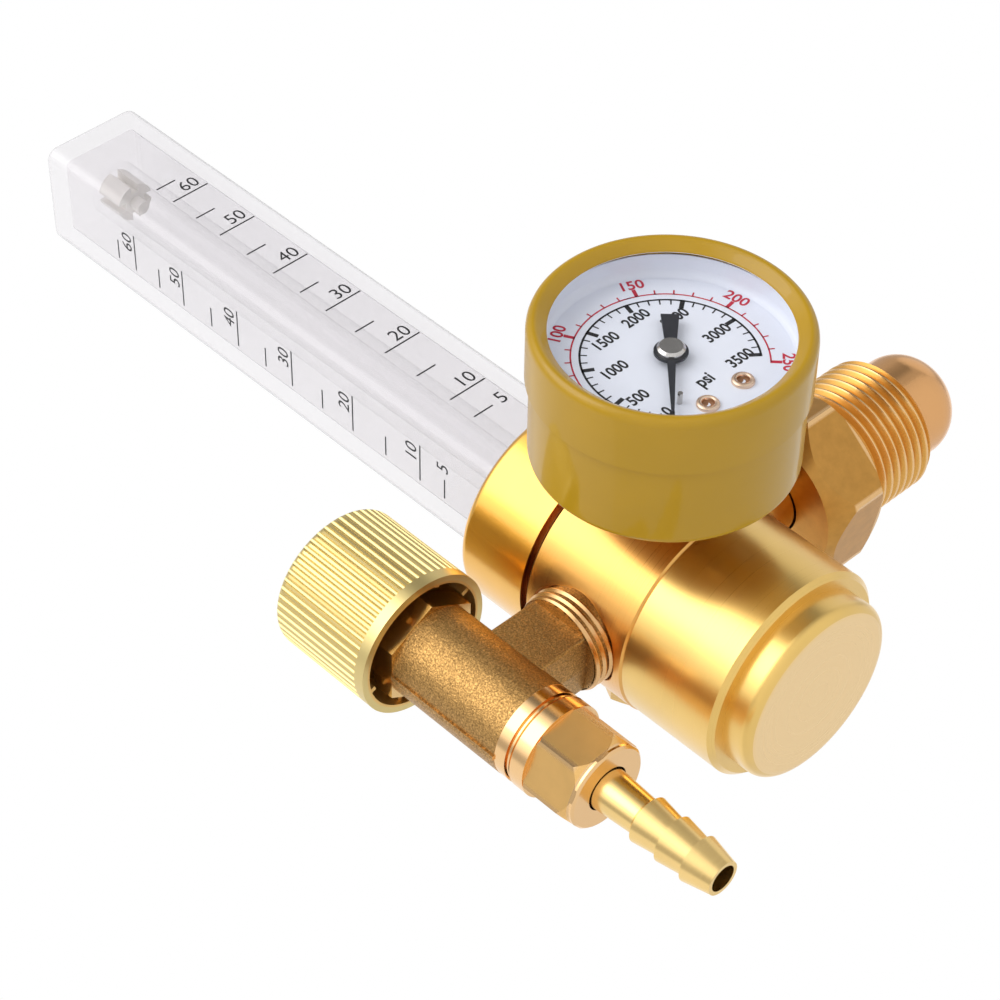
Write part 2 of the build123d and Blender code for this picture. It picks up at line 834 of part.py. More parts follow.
def gauge_dial():
    """The dial plate with its centre and screw holes."""
    plate = rod(dial_r, dial_top - dial_len, dial_top)
    plate -= rod(2 * arbor_r, dial_top - dial_len, dial_top)
    for x, y in screw_places():
        plate -= Pos(x, y, 0) * rod(dial_screw_shank_r + seat_gap, dial_top - dial_len, dial_top)
    x, y = polar(zero_pin_at_r, pointer_zero + zero_pin_angle)
    plate -= Pos(x, y, 0) * rod(zero_pin_r + seat_gap, dial_top - dial_len, dial_top)
    return TO_GAUGE * plate


def dial_screws():
    """The two slotted brass screws through the dial."""
    head = rod(dial_screw_head_r, dial_top, dial_top + dial_screw_head_len)
    head = fillet(head.edges().filter_by(GeomType.CIRCLE).sort_by(Axis.Z)[-1], 0.35)
    slot = Pos(0, 0, dial_top + dial_screw_head_len) * Box(2 * dial_screw_head_r, 0.5, 0.8)
    shank = rod(dial_screw_shank_r, dial_top - dial_screw_shank_len, dial_top)
    screw = head - slot + shank
    both = []
    for (x, y), turn in zip(screw_places(), (65, -20)):
        both.append(Pos(x, y, 0) * Rot(0, 0, turn) * screw)
    return TO_GAUGE * Compound(children=both)


def zero_pin():
    """The pin that the pointer stops against at zero."""
    x, y = polar(zero_pin_at_r, pointer_zero + zero_pin_angle)
    return TO_GAUGE * Pos(x, y, 0) * rod(zero_pin_r, dial_top - dial_len, dial_top - dial_len + zero_pin_len)


def bourdon_section(width, height):
    """A flattened tube section standing at the tube's mean radius."""
    section = SlotOverall(height, width) if height > width else SlotOverall(width, height)
    section = Rot(0, 0, 90) * section
    return Pos(bourdon_mean_r, 0, bourdon_mid) * Rot(90, 0, 0) * section


def bourdon_shape(width, height, extra=0.0):
    """The curved flattened bar, swept clockwise from the block."""
    bar = revolve(bourdon_section(width, height), Axis.Z, bourdon_sweep + extra)
    return Rot(0, 0, bourdon_start - bourdon_sweep) * bar


def bourdon_tube():
    """The curved flattened tube that straightens under pressure, with a closed tip and its lug."""
    outer = bourdon_shape(bourdon_w, bourdon_h)
    inner_w = bourdon_w - 2 * bourdon_wall
    inner_h = bourdon_h - 2 * bourdon_wall
    core = revolve(bourdon_section(inner_w, inner_h), Axis.Z, bourdon_sweep - 3)
    inner = Rot(0, 0, bourdon_start - bourdon_sweep + 3) * core
    x, y = polar(bourdon_mean_r, bourdon_start - bourdon_sweep + 3)
    top = bourdon_mid + bourdon_h / 2
    lug = Pos(x, y, 0) * rod(bourdon_w / 2, top - 1.0, link_level - free_gap)
    return TO_GAUGE * (outer - inner + lug)


def gauge_socket():
    """The gauge's stem, hexagon and inner block with its two dial posts."""
    low = body_r - port_depth + seat_gap
    piece = rod(small_port_r - seat_gap, low, body_r - body_edge)
    hex_low = case_bottom - socket_hex_len
    piece += rod(nipple_r, body_r - body_edge, hex_low)
    piece += hexagon(socket_flats, hex_low, block_base)
    depth = block_low + block_high
    block = Pos(0, (block_high - block_low) / 2, (block_base + block_top) / 2) * Box(
        block_w, depth, block_top - block_base
    )
    piece += block & rod(block_r, block_base, block_top)
    for x, y in screw_places():
        post = rod(post_r, block_top, dial_top - dial_len)
        hole = rod(dial_screw_shank_r, dial_top - dial_screw_shank_len, dial_top - dial_len)
        piece += Pos(x, y, 0) * (post - hole)
    piece -= rod(socket_bore_r, low, bourdon_mid)
    passage = TO_INLET * rod(socket_bore_r / 2, 0, bourdon_mean_r - bourdon_w / 4)
    piece -= Pos(0, 0, bourdon_mid) * Rot(0, 0, bourdon_start + 1.5) * passage
    piece -= bourdon_shape(bourdon_w, bourdon_h)
    for side in (-1, 1):
        hole = rod(case_screw_r + seat_gap, block_base, block_base + case_screw_len + free_gap)
        piece -= Pos(side * case_screw_x, -case_screw_y, 0) * hole
    return TO_GAUGE * piece


def plate_outline():
    """The movement plates' outline."""
    height = plate_high + plate_low
    return Pos(0, (plate_high - plate_low) / 2) * RectangleRounded(2 * plate_half_w, height, 3.0)


def pillar_places():
    """Where the movement's pillars stand, clear of the sector's sweep."""
    return [(-pillar_x, -pillar_low_y), (pillar_x, -pillar_low_y), (-pillar_x, pillar_high_y)]


def movement_bottom_plate():
    """The movement's lower plate with its three pillars."""
    plate = Pos(0, 0, plate_base) * extrude(plate_outline(), plate_len)
    for x, y in pillar_places():
        plate += Pos(x, y, 0) * rod(pillar_r, plate_top, upper_base)
    stud_x = hairspring_inner_r + hairspring_turns * hairspring_pitch + hairspring_w / 2 + pivot_r
    plate += Pos(stud_x, 0, 0) * rod(pivot_r, plate_top, plate_top + hairspring_level + hairspring_h)
    for x, y in ((0.0, 0.0), pivot_at):
        plate -= Pos(x, y, 0) * rod(pivot_r + run_gap, plate_base, plate_top)
    return TO_GAUGE * plate


def movement_top_plate():
    """The movement's upper plate, cut back over the tail and its link."""
    plate = Pos(0, 0, upper_base) * extrude(plate_outline(), plate_len)
    high = upper_base + plate_len
    plate -= rod(arbor_r + run_gap, upper_base, high)
    plate -= Pos(pivot_at[0], pivot_at[1], 0) * rod(pivot_r + run_gap, upper_base, high)
    return TO_GAUGE * plate


def tooth_flank(teeth, tip_r, root_r):
    """Points on one flank of a tooth centred on angle zero, from root to tip."""
    pitch_r = gear_module * teeth / 2
    angle = math.radians(pressure_angle)
    base_r = pitch_r * math.cos(angle)
    half = math.pi / (2 * teeth) * (1 - tooth_backlash)
    involute = math.tan(angle) - angle
    flank = []
    start_r = max(base_r, root_r)
    for step in range(4):
        r = start_r + (tip_r - start_r) * step / 3
        unwrap = math.sqrt(max((r / base_r) ** 2 - 1, 0.0))
        turn = half + involute - (unwrap - math.atan(unwrap))
        flank.append((r, turn))
    if root_r < start_r:
        flank.insert(0, (root_r, flank[0][1]))
    return flank


def toothed_points(teeth, first_angle, count):
    """Outline points of some teeth in a row, the first centred on an angle in degrees."""
    pitch_r = gear_module * teeth / 2
    tip_r = pitch_r + tooth_addendum * gear_module
    root_r = pitch_r - tooth_dedendum * gear_module
    flank = tooth_flank(teeth, tip_r, root_r)
    points = []
    for number in range(count):
        centre = math.radians(first_angle) + number * 2 * math.pi / teeth
        for r, turn in flank:
            points.append((r * math.cos(centre - turn), r * math.sin(centre - turn)))
        for r, turn in reversed(flank):
            points.append((r * math.cos(centre + turn), r * math.sin(centre + turn)))
    return points


def pinion_arbor():
    """The turned arbor with its cut pinion, through the dial to the pointer."""
    pitch_angle = 360 / pinion_teeth
    outline = Polyline(toothed_points(pinion_teeth, 90 + pitch_angle / 2, pinion_teeth), close=True)
    low = gear_level - (pinion_len - sector_gear_len) / 2
    gear = Pos(0, 0, low) * extrude(make_face(outline), pinion_len)
    shaft = rod(arbor_r, plate_top + run_gap, pointer_level + pointer_len)
    return TO_GAUGE * (gear + shaft + rod(pivot_r, plate_base + run_gap, plate_top + run_gap))


def sector_gear():
    """The toothed sector with its tail, cut from plate."""
    tooth_angle = 360 / sector_full_teeth
    first = -math.ceil((sector_swing + sector_spare) / tooth_angle)
    last = math.ceil(sector_spare / tooth_angle)
    teeth = toothed_points(sector_full_teeth, -90 + first * tooth_angle, last - first + 1)
    fan = make_face(Polyline([(0.0, 0.0)] + teeth, close=True))
    middle_angle = -90 + (first + last) / 2 * tooth_angle
    window_low = sector_hub_r + window_margin
    window_high = gear_module * sector_full_teeth / 2 - sector_rim
    opening = RectangleRounded(window_high - window_low, window_w, 1.0)
    window = Rot(0, 0, middle_angle) * Pos((window_low + window_high) / 2, 0) * opening
    x, y = polar(tail_len, tail_angle)
    tail = Rot(0, 0, tail_angle) * Pos(tail_len / 2, 0) * Rectangle(tail_len, tail_w)
    flat = fan + Circle(sector_hub_r) + tail + Pos(x, y) * Circle(tail_r)
    flat = flat - window - Circle(arbor_r + seat_gap) - Pos(x, y) * Circle(link_pin_r + run_gap)
    plate = Pos(pivot_at[0], pivot_at[1], gear_level) * extrude(flat, sector_gear_len)
    return TO_GAUGE * plate


def sector_arbor():
    """The sector's shaft between the plates."""
    low = plate_top + run_gap
    high = upper_base - run_gap
    shaft = rod(arbor_r, low, high)
    shaft += rod(2 * arbor_r, gear_level + sector_gear_len, gear_level + sector_gear_len + 1.2)
    shaft += rod(pivot_r, plate_base + run_gap, upper_base + plate_len - run_gap)
    return TO_GAUGE * Pos(pivot_at[0], pivot_at[1], 0) * shaft


def tail_end():
    """Where the link hangs on the sector's tail at rest."""
    x, y = polar(tail_len, tail_angle)
    return pivot_at[0] + x, pivot_at[1] + y


def movement_link():
    """The link from the curved tube's tip to the sector's tail, with its pin."""
    tail_x, tail_y = tail_end()
    tip_x, tip_y = polar(bourdon_mean_r, bourdon_start - bourdon_sweep + 3)
    length = math.hypot(tip_x - tail_x, tip_y - tail_y)
    turn = math.degrees(math.atan2(tip_y - tail_y, tip_x - tail_x))
    bar = Rot(0, 0, turn) * Pos(length / 2, 0) * SlotCenterToCenter(length, 2 * link_half_w)
    flat = Pos(0, 0, link_level) * extrude(bar, link_len)
    pin = rod(link_pin_r, gear_level, link_level)
    return TO_GAUGE * Pos(tail_x, tail_y, 0) * (flat + pin)


def hairspring():
    """The flat spiral that takes up the teeth's play."""
    steps = 12 * hairspring_turns
    outer = []
    inner = []
    for step in range(steps + 1):
        angle = 360 * step / 12
        radius = hairspring_inner_r + hairspring_pitch * step / 12
        outer.append(polar(radius + hairspring_w / 2, angle))
        inner.append(polar(radius - hairspring_w / 2, angle))
    low = plate_top + hairspring_level
    ribbon = make_face(Polyline(outer + inner[::-1], close=True))
    spiral = Pos(0, 0, low) * extrude(ribbon, hairspring_h)
    collet = tube(hairspring_inner_r, arbor_r + seat_gap, low, low + hairspring_h)
    return TO_GAUGE * (spiral + collet)


def pointer():
    """The flat pointer with its spear tail."""
    blade = Polyline(
        [
            (0, pointer_root_w / 2),
            (pointer_tip_r, pointer_tip_w / 2),
            (pointer_tip_r, -pointer_tip_w / 2),
            (0, -pointer_root_w / 2),
            (-pointer_tail_r, -pointer_tail_w / 2),
            (-pointer_tail_r, pointer_tail_w / 2),
        ],
        close=True,
    )
    flat = make_face(blade) + Circle(pointer_hub_r) - Circle(arbor_r + seat_gap)
    plate = Pos(0, 0, pointer_level) * Rot(0, 0, pointer_zero) * extrude(flat, pointer_len)
    return TO_GAUGE * plate


def pointer_cap():
    """The turned cap pressed over the pointer's hub."""
    low = pointer_level + pointer_len
    cap = rod(cap_r, low, low + cap_len)
    cap = chamfer(cap.edges().filter_by(GeomType.CIRCLE).sort_by(Axis.Z)[-1], 0.4)
    return TO_GAUGE * cap


def valve_body():
    """The cast valve body: barrel, square branch with crowned sides, and machined ends."""
    body = rod(barrel_r, -barrel_bottom, barrel_top)
    seam = Pos(-barrel_r, 0, (barrel_top - barrel_bottom) / 2) * Box(
        2 * parting_h, parting_w, barrel_top + barrel_bottom
    )
    body += seam
    outline = [
        (branch_half_w, -branch_corner_z),
        (branch_half_w, branch_corner_z),
        (0, branch_parting_z),
        (-branch_half_w, branch_corner_z),
        (-branch_half_w, -branch_corner_z),
        (0, -branch_parting_z),
    ]
    section = make_face(Plane.YZ * Polyline(*outline, close=True))
    branch = extrude(section, valve_x - branch_start, dir=(1, 0, 0))
    branch = fillet([e for e in branch.edges().filter_by(Axis.X) if abs(e.center().Y) > 0.1], branch_edge)
    body += branch
    body += rod(valve_ring_r, -barrel_bottom - valve_ring_len, -barrel_bottom)
    neck_top = -barrel_bottom - valve_ring_len
    neck_low = neck_top - outlet_neck_len
    body += rod(outlet_neck_r, neck_low, neck_top)
    ridge_mid = (neck_top + neck_low) / 2
    body += rod(outlet_ridge_r, ridge_mid - outlet_ridge_w / 2, ridge_mid + outlet_ridge_w / 2)
    body += rod(outlet_thread_r, -outlet_end, -barrel_bottom)
    thread_start = valve_x - body_r + outlet_depth - seat_gap
    body += TO_INLET * rod(outlet_port_r - seat_gap, valve_x - branch_start, thread_start)

    body -= rod(packing_thread_r + seat_gap, barrel_top - packing_depth, barrel_top)
    body -= rod(valve_chamber_r, -valve_floor, barrel_top)
    body -= rod(valve_orifice_r, -valve_floor - valve_orifice_len, -valve_floor)
    body -= rod(outlet_bore_r, -outlet_end, -valve_floor - valve_orifice_len)
    body -= Pos(0, 0, -outlet_end + barb_cone_len / 2) * Cone(cone_r, outlet_bore_r, barb_cone_len)
    body -= TO_INLET * rod(branch_bore_r, 0, thread_start)
    return AT_VALVE * body


def packing_nut():
    """The nut that guides the valve stem and holds it in."""
    low = barrel_top - packing_depth
    hex_top = barrel_top + packing_hex_len
    corner_r = packing_flats / 2 / math.cos(math.pi / 6)
    envelope = turned(
        [
            (0, barrel_top),
            (corner_r, barrel_top),
            (corner_r, hex_top - 0.9),
            (packing_chamfer_r, hex_top),
            (0, hex_top),
        ]
    )
    nut = hexagon(packing_flats, barrel_top, hex_top, packing_turn) & envelope
    nut += rod(packing_thread_r, low, barrel_top)
    nut += rod(packing_boss_r, hex_top, hex_top + packing_boss_len)
    return AT_VALVE * (nut - rod(valve_stem_r + run_gap, low, hex_top + packing_boss_len))


def valve_stem():
    """The needle stem with its collar, seal groove and square end."""
    needle_low = -valve_floor - needle_len
    stem = turned(
        [
            (0, needle_low),
            (needle_tip_r, needle_low),
            (needle_r, -valve_floor),
            (needle_r, -valve_floor + 1.2),
            (valve_stem_r, -valve_floor + 2.2),
            (valve_stem_r, stem_shoulder),
            (0, stem_shoulder),
        ]
    )
    stem += rod(stem_collar_r, stem_collar_low, stem_collar_low + stem_collar_len)
    square = Pos(0, 0, (stem_shoulder + stem_top) / 2) * Box(
        stem_square, stem_square, stem_top - stem_shoulder
    )
    stem += square
    stem -= tube(
        valve_chamber_r,
        valve_stem_r - small_ring_r / 2,
        stem_seal_at - small_ring_r,
        stem_seal_at + small_ring_r,
    )
    stem -= rod(knob_screw_r, stem_top - knob_screw_len, stem_top)
    return AT_VALVE * stem


def stem_seal():
    """The valve stem's seal ring."""
    section = (valve_chamber_r - valve_stem_r + small_ring_r / 2) / 2
    centre = valve_chamber_r - section
    return AT_VALVE * seal_ring(centre, section - run_gap, stem_seal_at)


def valve_knob():
    """The fluted cup-shaped knob with its inner ribs and square hub."""
    outer = rod(knob_r, knob_low, knob_top)
    outer = fillet(outer.edges().filter_by(GeomType.CIRCLE).sort_by(Axis.Z)[-1], knob_edge)
    flute = Pos(knob_r + flute_r / 4, 0) * Circle(flute_r)
    flutes = Sketch() + [Rot(0, 0, 360 * k / flute_count) * flute for k in range(flute_count)]
    outer -= Pos(0, 0, knob_low + knob_band) * extrude(flutes, knob_len)
    inner_r = knob_r - knob_wall
    knob = outer - rod(inner_r, knob_low, knob_ceiling)
    knob += rod(hub_r, knob_ceiling - hub_len, knob_ceiling)
    rib_low = knob_low + 1.0
    rib = Pos(inner_r - rib_h / 2 + 0.1, 0, (rib_low + knob_ceiling) / 2) * Box(
        rib_h + 0.2, rib_w, knob_ceiling - rib_low
    )
    for number in range(rib_count):
        knob += Rot(0, 0, 360 * (number + 0.5) / rib_count) * rib
    knob -= rod(valve_stem_r + seat_gap, knob_ceiling - hub_len, stem_shoulder)
    hole = stem_square + 2 * seat_gap
    knob -= Pos(0, 0, (stem_shoulder + stem_top) / 2) * Box(hole, hole, stem_top - stem_shoulder)
    knob -= rod(knob_screw_r + seat_gap, stem_top, knob_top)
    knob -= rod(knob_screw_head_r + free_gap, head_seat, knob_top)
    return AT_VALVE * knob


def knob_screw():
    """The screw that holds the knob on its square."""
    screw = rod(knob_screw_head_r, head_seat, knob_top)
    screw -= Pos(0, 0, knob_top) * Box(2 * knob_screw_head_r, 0.7, 1.4)
    screw += rod(knob_screw_r - seat_gap, stem_top - knob_screw_len + free_gap, head_seat)
    return AT_VALVE * screw


def hose_nut():
    """The nut that clamps the barb, with a hexagon, a cone and a round nose."""
    corner_r = hose_nut_flats / 2 / math.cos(math.pi / 6)
    hex_top = -hose_nut_start - hose_nut_ring_len
    envelope = turned(
        [
            (0, hex_top),
            (corner_r - 0.5, hex_top),
            (corner_r, hex_top - 0.5),
            (corner_r, -hose_nut_corner_end),
            (hose_nut_nose_r, -hose_nut_cone_end),
            (hose_nut_nose_r, -hose_nut_end + 0.4),
            (hose_nut_nose_r - 0.4, -hose_nut_end),
            (0, -hose_nut_end),
        ]
    )
    nut = hexagon(hose_nut_flats, -hose_nut_end, hex_top, hose_nut_turn) & envelope
    nut += rod(hose_nut_ring_r, hex_top, -hose_nut_start)
    nut -= rod(outlet_thread_r + seat_gap, -hose_nut_inner_end, -hose_nut_start)
    return AT_VALVE * (nut - rod(barb_neck_r + free_gap, -hose_nut_end, -hose_nut_inner_end))


def hose_barb():
    """The barbed tail with its flange and cone seat."""
    flange_low = -hose_nut_inner_end
    cone_base = -outlet_end - seat_gap
    cone_tip = cone_base + barb_cone_len
    points = [(0, cone_tip), (outlet_bore_r, cone_tip)]
    points += [(cone_r - seat_gap, cone_base), (barb_flange_r, cone_base)]
    points += [(barb_flange_r, flange_low), (barb_neck_r, flange_low)]
    points += [(barb_neck_r, -hose_nut_end), (barb_root_r, -barb_root_at)]
    for number in range(barb_count):
        crest = -barb_first_crest - number * barb_pitch
        last = number == barb_count - 1
        points += [(barb_crest_r, crest), (barb_tip_r if last else barb_valley_r, crest - barb_pitch)]
    low = -barb_first_crest - barb_count * barb_pitch
    barb = turned(points + [(0, low)])
    return AT_VALVE * (barb - rod(barb_bore_r, low, cone_tip))


pieces = {
    "body_block": body_block(),
    "bottom_bonnet": bottom_bonnet(),
    "nozzle": nozzle(),
    "stem_guide": stem_guide(),
    "stem_guide_seal": stem_guide_seal(),
    "piston": piston(),
    "piston_seal": piston_seal(),
    "seat_disc": rod(seat_disc_r, stem_tip - seat_disc_len, stem_tip),
    "main_spring": coil(spring_mean_r, spring_wire_r, piston_head_top, spigot_low, spring_turns),
    "cover_collar": cover_collar(),
    "cover_seal": seal_ring(seal_ring_centre, ring_r - seat_gap, spigot_high - ring_r),
    "flow_tube_cover": flow_tube_cover(),
    "tube_seat": tube_seat(),
    "tube_seal": tube_seal(),
    "flow_tube": flow_tube(),
    "float_ball": Pos(0, 0, float_rest) * Sphere(float_r),
    "float_stop": float_stop(),
    "inlet_nipple": inlet_nipple(),
    "inlet_filter": inlet_filter(),
    "inlet_nut": inlet_nut(),
    "relief_body": relief_body(),
    "relief_poppet": relief_poppet(),
    "relief_spring": relief_spring(),
    "relief_cap": relief_cap(),
    "gauge_case": gauge_case(),
    "case_screws": case_screws(),
    "gauge_bezel": gauge_bezel(),
    "gauge_lens": gauge_lens(),
    "gauge_dial": gauge_dial(),
    "dial_screws": dial_screws(),
    "zero_pin": zero_pin(),
    "gauge_socket": gauge_socket(),
    "bourdon_tube": bourdon_tube(),
    "movement_bottom_plate": movement_bottom_plate(),
    "movement_top_plate": movement_top_plate(),
    "sector_gear": sector_gear(),
    "sector_arbor": sector_arbor(),
    "movement_link": movement_link(),
    "pinion_arbor": pinion_arbor(),
    "hairspring": hairspring(),
    "pointer": pointer(),
    "pointer_cap": pointer_cap(),
    "valve_body": valve_body(),
    "packing_nut": packing_nut(),
    "valve_stem": valve_stem(),
    "stem_seal": stem_seal(),
    "valve_knob": valve_knob(),
    "knob_screw": knob_screw(),
    "hose_nut": hose_nut(),
    "hose_barb": hose_barb(),
}

os.makedirs("parts", exist_ok=True)
for name, piece in pieces.items():
    export_step(Pos(-origin_x, 0, 0) * piece, f"parts/{name}.step")

print("origin from the body's axis", round(origin_x, 3))
print("float travel", round(float_travel, 3), "sector swing", round(sector_swing, 3))
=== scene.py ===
import math

import bmesh
import bpy
from mathutils import Matrix, Vector


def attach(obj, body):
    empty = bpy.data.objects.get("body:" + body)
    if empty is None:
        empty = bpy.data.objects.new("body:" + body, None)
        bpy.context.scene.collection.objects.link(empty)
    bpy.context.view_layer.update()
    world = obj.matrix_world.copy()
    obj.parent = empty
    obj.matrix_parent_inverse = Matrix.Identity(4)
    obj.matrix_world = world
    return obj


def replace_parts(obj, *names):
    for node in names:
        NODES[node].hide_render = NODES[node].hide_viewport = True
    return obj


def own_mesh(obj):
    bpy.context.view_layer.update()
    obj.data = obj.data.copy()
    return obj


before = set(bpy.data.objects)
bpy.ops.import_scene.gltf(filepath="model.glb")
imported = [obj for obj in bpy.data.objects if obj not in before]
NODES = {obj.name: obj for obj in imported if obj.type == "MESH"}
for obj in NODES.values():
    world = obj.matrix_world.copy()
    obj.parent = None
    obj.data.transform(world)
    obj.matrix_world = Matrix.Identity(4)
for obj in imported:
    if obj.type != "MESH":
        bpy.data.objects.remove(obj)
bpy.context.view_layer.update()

MM = 0.001

# Places and sizes, in millimetres, in the part's own frame
BODY_X = -58.6              # the body's upright axis
VALVE_X = BODY_X - 37.9     # the needle valve's upright axis
COVER_HALF = 10.45          # half the width of the square cover
DIAL_FACE = 47.4            # dial's face in front of the body's axis
PRINT_LIFT = 0.02           # print above its surface
INK_THICKNESS = 0.01
DIAL_PRINT = DIAL_FACE + PRINT_LIFT
BODY_AXIS = (BODY_X, 0, 0)
VALVE_AXIS = (VALVE_X, 0, 0)

# Camera, from the photograph's perspective
CAMERA_AT = Vector((-315.1, -342.3, -225.2)) * MM
CAMERA_LOOK = Vector((0.5075, 0.6886, 0.5179)).normalized()
CAMERA_UP = Vector((0.4700, -0.7250, 0.5034))
FOCAL_PX = 2952.0
IMAGE_PX = 1000.0
CENTRE_PX = (500.5, 490.3)
SENSOR_MM = 36.0


def collection():
    return bpy.context.scene.collection


def add_mesh(name, vertices, faces, body, mat, smooth_angle=30.0):
    """A new mesh piece in millimetres that rides on a body."""
    mesh = bpy.data.meshes.new(name)
    mesh.from_pydata([Vector(v) * MM for v in vertices], [], faces)
    return finish_mesh(name, mesh, body, mat, smooth_angle)


def finish_mesh(name, mesh, body, mat, smooth_angle=30.0):
    """Cleans a mesh, links it and lets it ride."""
    bm = bmesh.new()
    bm.from_mesh(mesh)
    bmesh.ops.remove_doubles(bm, verts=bm.verts, dist=1e-7)
    bmesh.ops.dissolve_degenerate(bm, dist=1e-8, edges=bm.edges)
    bmesh.ops.recalc_face_normals(bm, faces=bm.faces)
    bm.to_mesh(mesh)
    bm.free()
    if "custom_normal" in mesh.attributes:
        mesh.attributes.remove(mesh.attributes["custom_normal"])
    mesh.shade_smooth()
    mesh.set_sharp_from_angle(angle=math.radians(smooth_angle))
    mesh.materials.clear()
    mesh.materials.append(mat)
    piece = bpy.data.objects.new(name, mesh)
    collection().objects.link(piece)
    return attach(piece, body)


# Node helpers for the materials

class Shader:
    """A procedural material around one Principled shader."""

    def __init__(self, name, color, metallic=0.0, roughness=0.5, **sockets):
        self.mat = bpy.data.materials.new(name)
        self.mat.use_nodes = True
        self.tree = self.mat.node_tree
        self.bsdf = self.tree.nodes["Principled BSDF"]
        self.set("Base Color", (*color, 1.0))
        self.set("Metallic", metallic)
        self.set("Roughness", roughness)
        for socket, value in sockets.items():
            self.set(socket.replace("_", " "), value)

    def set(self, socket, value):
        self.bsdf.inputs[socket].default_value = value

    def node(self, kind, **settings):
        made = self.tree.nodes.new(kind)
        for key, value in settings.items():
            setattr(made, key, value)
        return made

    def link(self, output, target):
        self.tree.links.new(output, target)

    def math(self, operation, a, b=None):
        """A number from one or two others; each is a socket or a value."""
        made = self.node("ShaderNodeMath", operation=operation)
        for index, value in enumerate((a, b)):
            if value is None:
                continue
            if isinstance(value, (int, float)):
                made.inputs[index].default_value = value
            else:
                self.link(value, made.inputs[index])
        return made.outputs[0]

    def place(self):
        """The piece's own coordinates, in metres."""
        return self.node("ShaderNodeTexCoord").outputs["Object"]

    def noise(self, per_mm, detail=3.0, vector=None, roughness=0.5):
        """Noise with so many cells a millimetre along each axis."""
        mapping = self.node("ShaderNodeMapping")
        self.link(vector or self.place(), mapping.inputs["Vector"])
        scale = (per_mm,) * 3 if isinstance(per_mm, (int, float)) else per_mm
        mapping.inputs["Scale"].default_value = [value / MM for value in scale]
        noise = self.node("ShaderNodeTexNoise")
        noise.inputs["Scale"].default_value = 1.0
        noise.inputs["Detail"].default_value = detail
        noise.inputs["Roughness"].default_value = roughness
        self.link(mapping.outputs[0], noise.inputs["Vector"])
        return noise.outputs["Fac"]

    def rings(self, lathe, per_mm):
        """Noise in rings about a lathe axis."""
        return self.noise((per_mm, per_mm, 0.0), detail=4.0, vector=lathe, roughness=0.7)

    def split(self, vector):
        """The three parts of a vector."""
        parts = self.node("ShaderNodeSeparateXYZ")
        self.link(vector, parts.inputs[0])
        return list(parts.outputs)

    def turned_place(self, axis, centre):
        """Radius and length along a lathe axis as a vector, in metres."""
        shifted = self.node("ShaderNodeVectorMath", operation="SUBTRACT")
        self.link(self.place(), shifted.inputs[0])
        shifted.inputs[1].default_value = [value * MM for value in centre]
        across = self.node("ShaderNodeVectorMath", operation="MULTIPLY")
        self.link(shifted.outputs[0], across.inputs[0])
        across.inputs[1].default_value = [0.0 if name == axis else 1.0 for name in "XYZ"]
        length = self.node("ShaderNodeVectorMath", operation="LENGTH")
        self.link(across.outputs[0], length.inputs[0])
        parts = self.node("ShaderNodeSeparateXYZ")
        self.link(shifted.outputs[0], parts.inputs[0])
        joined = self.node("ShaderNodeCombineXYZ")
        self.link(length.outputs["Value"], joined.inputs[0])
        self.link(parts.outputs[axis], joined.inputs[1])
        return joined.outputs[0]

    def remap(self, value, low, high, out_low, out_high):
        """A value moved from one range to another, clamped."""
        made = self.node("ShaderNodeMapRange")
        made.inputs["From Min"].default_value = low
        made.inputs["From Max"].default_value = high
        made.inputs["To Min"].default_value = out_low
        made.inputs["To Max"].default_value = out_high
        self.link(value, made.inputs["Value"])
        return made.outputs[0]

    def rise(self, length, ends, top=1.0):
        """From 0 to a top value as a length in metres passes between two ends in mm."""
        return self.remap(length, ends[0] * MM, ends[1] * MM, 0.0, top)

    def between(self, length, low, high):
        """1 where a length in metres lies between two ends in mm, else 0."""
        above = self.math("GREATER_THAN", length, low * MM)
        below = self.math("LESS_THAN", length, high * MM)
        return self.math("MULTIPLY", above, below)

    def blend(self, mask, under, over):
        """Base colour that turns from one colour to another by a mask; each is a socket or RGB."""
        mix = self.node("ShaderNodeMix", data_type="RGBA")
        self.link(mask, mix.inputs[0])
        for index, side in ((6, under), (7, over)):
            if isinstance(side, tuple):
                mix.inputs[index].default_value = (*side, 1.0)
            else:
                self.link(side, mix.inputs[index])
        self.link(mix.outputs[2], self.bsdf.inputs["Base Color"])
        return mix.outputs[2]

    def colours(self, value, stops):
        """Base colour from a value by a ramp of (position, colour) stops."""
        ramp = self.node("ShaderNodeValToRGB")
        elements = ramp.color_ramp.elements
        elements[0].position, elements[0].color = stops[0][0], (*stops[0][1], 1.0)
        elements[1].position, elements[1].color = stops[-1][0], (*stops[-1][1], 1.0)
        for position, colour in stops[1:-1]:
            made = elements.new(position)
            made.color = (*colour, 1.0)
        self.link(value, ramp.inputs[0])
        self.link(ramp.outputs[0], self.bsdf.inputs["Base Color"])
        return ramp.outputs[0]

    def patch(self, tone, lathe, colour, low, high, within):
        """Another colour between two levels along a lathe axis, inside a radius, in mm."""
        radius, along, _ = self.split(lathe)
        inside = self.math("LESS_THAN", radius, within * MM)
        mask = self.math("MULTIPLY", inside, self.between(along, low, high))
        return self.blend(mask, tone, colour)

    def rough(self, value, low, high):
        """Roughness that follows a noise."""
        self.link(self.remap(value, 0.3, 0.7, low, high), self.bsdf.inputs["Roughness"])

    def bump(self, value, height_mm):
        """Surface relief of a real height."""
        made = self.node("ShaderNodeBump")
        made.inputs["Strength"].default_value = 1.0
        made.inputs["Distance"].default_value = height_mm * MM
        self.link(value, made.inputs["Height"])
        previous = self.bsdf.inputs["Normal"].links
        if previous:
            self.link(previous[0].from_socket, made.inputs["Normal"])
        self.link(made.outputs[0], self.bsdf.inputs["Normal"])

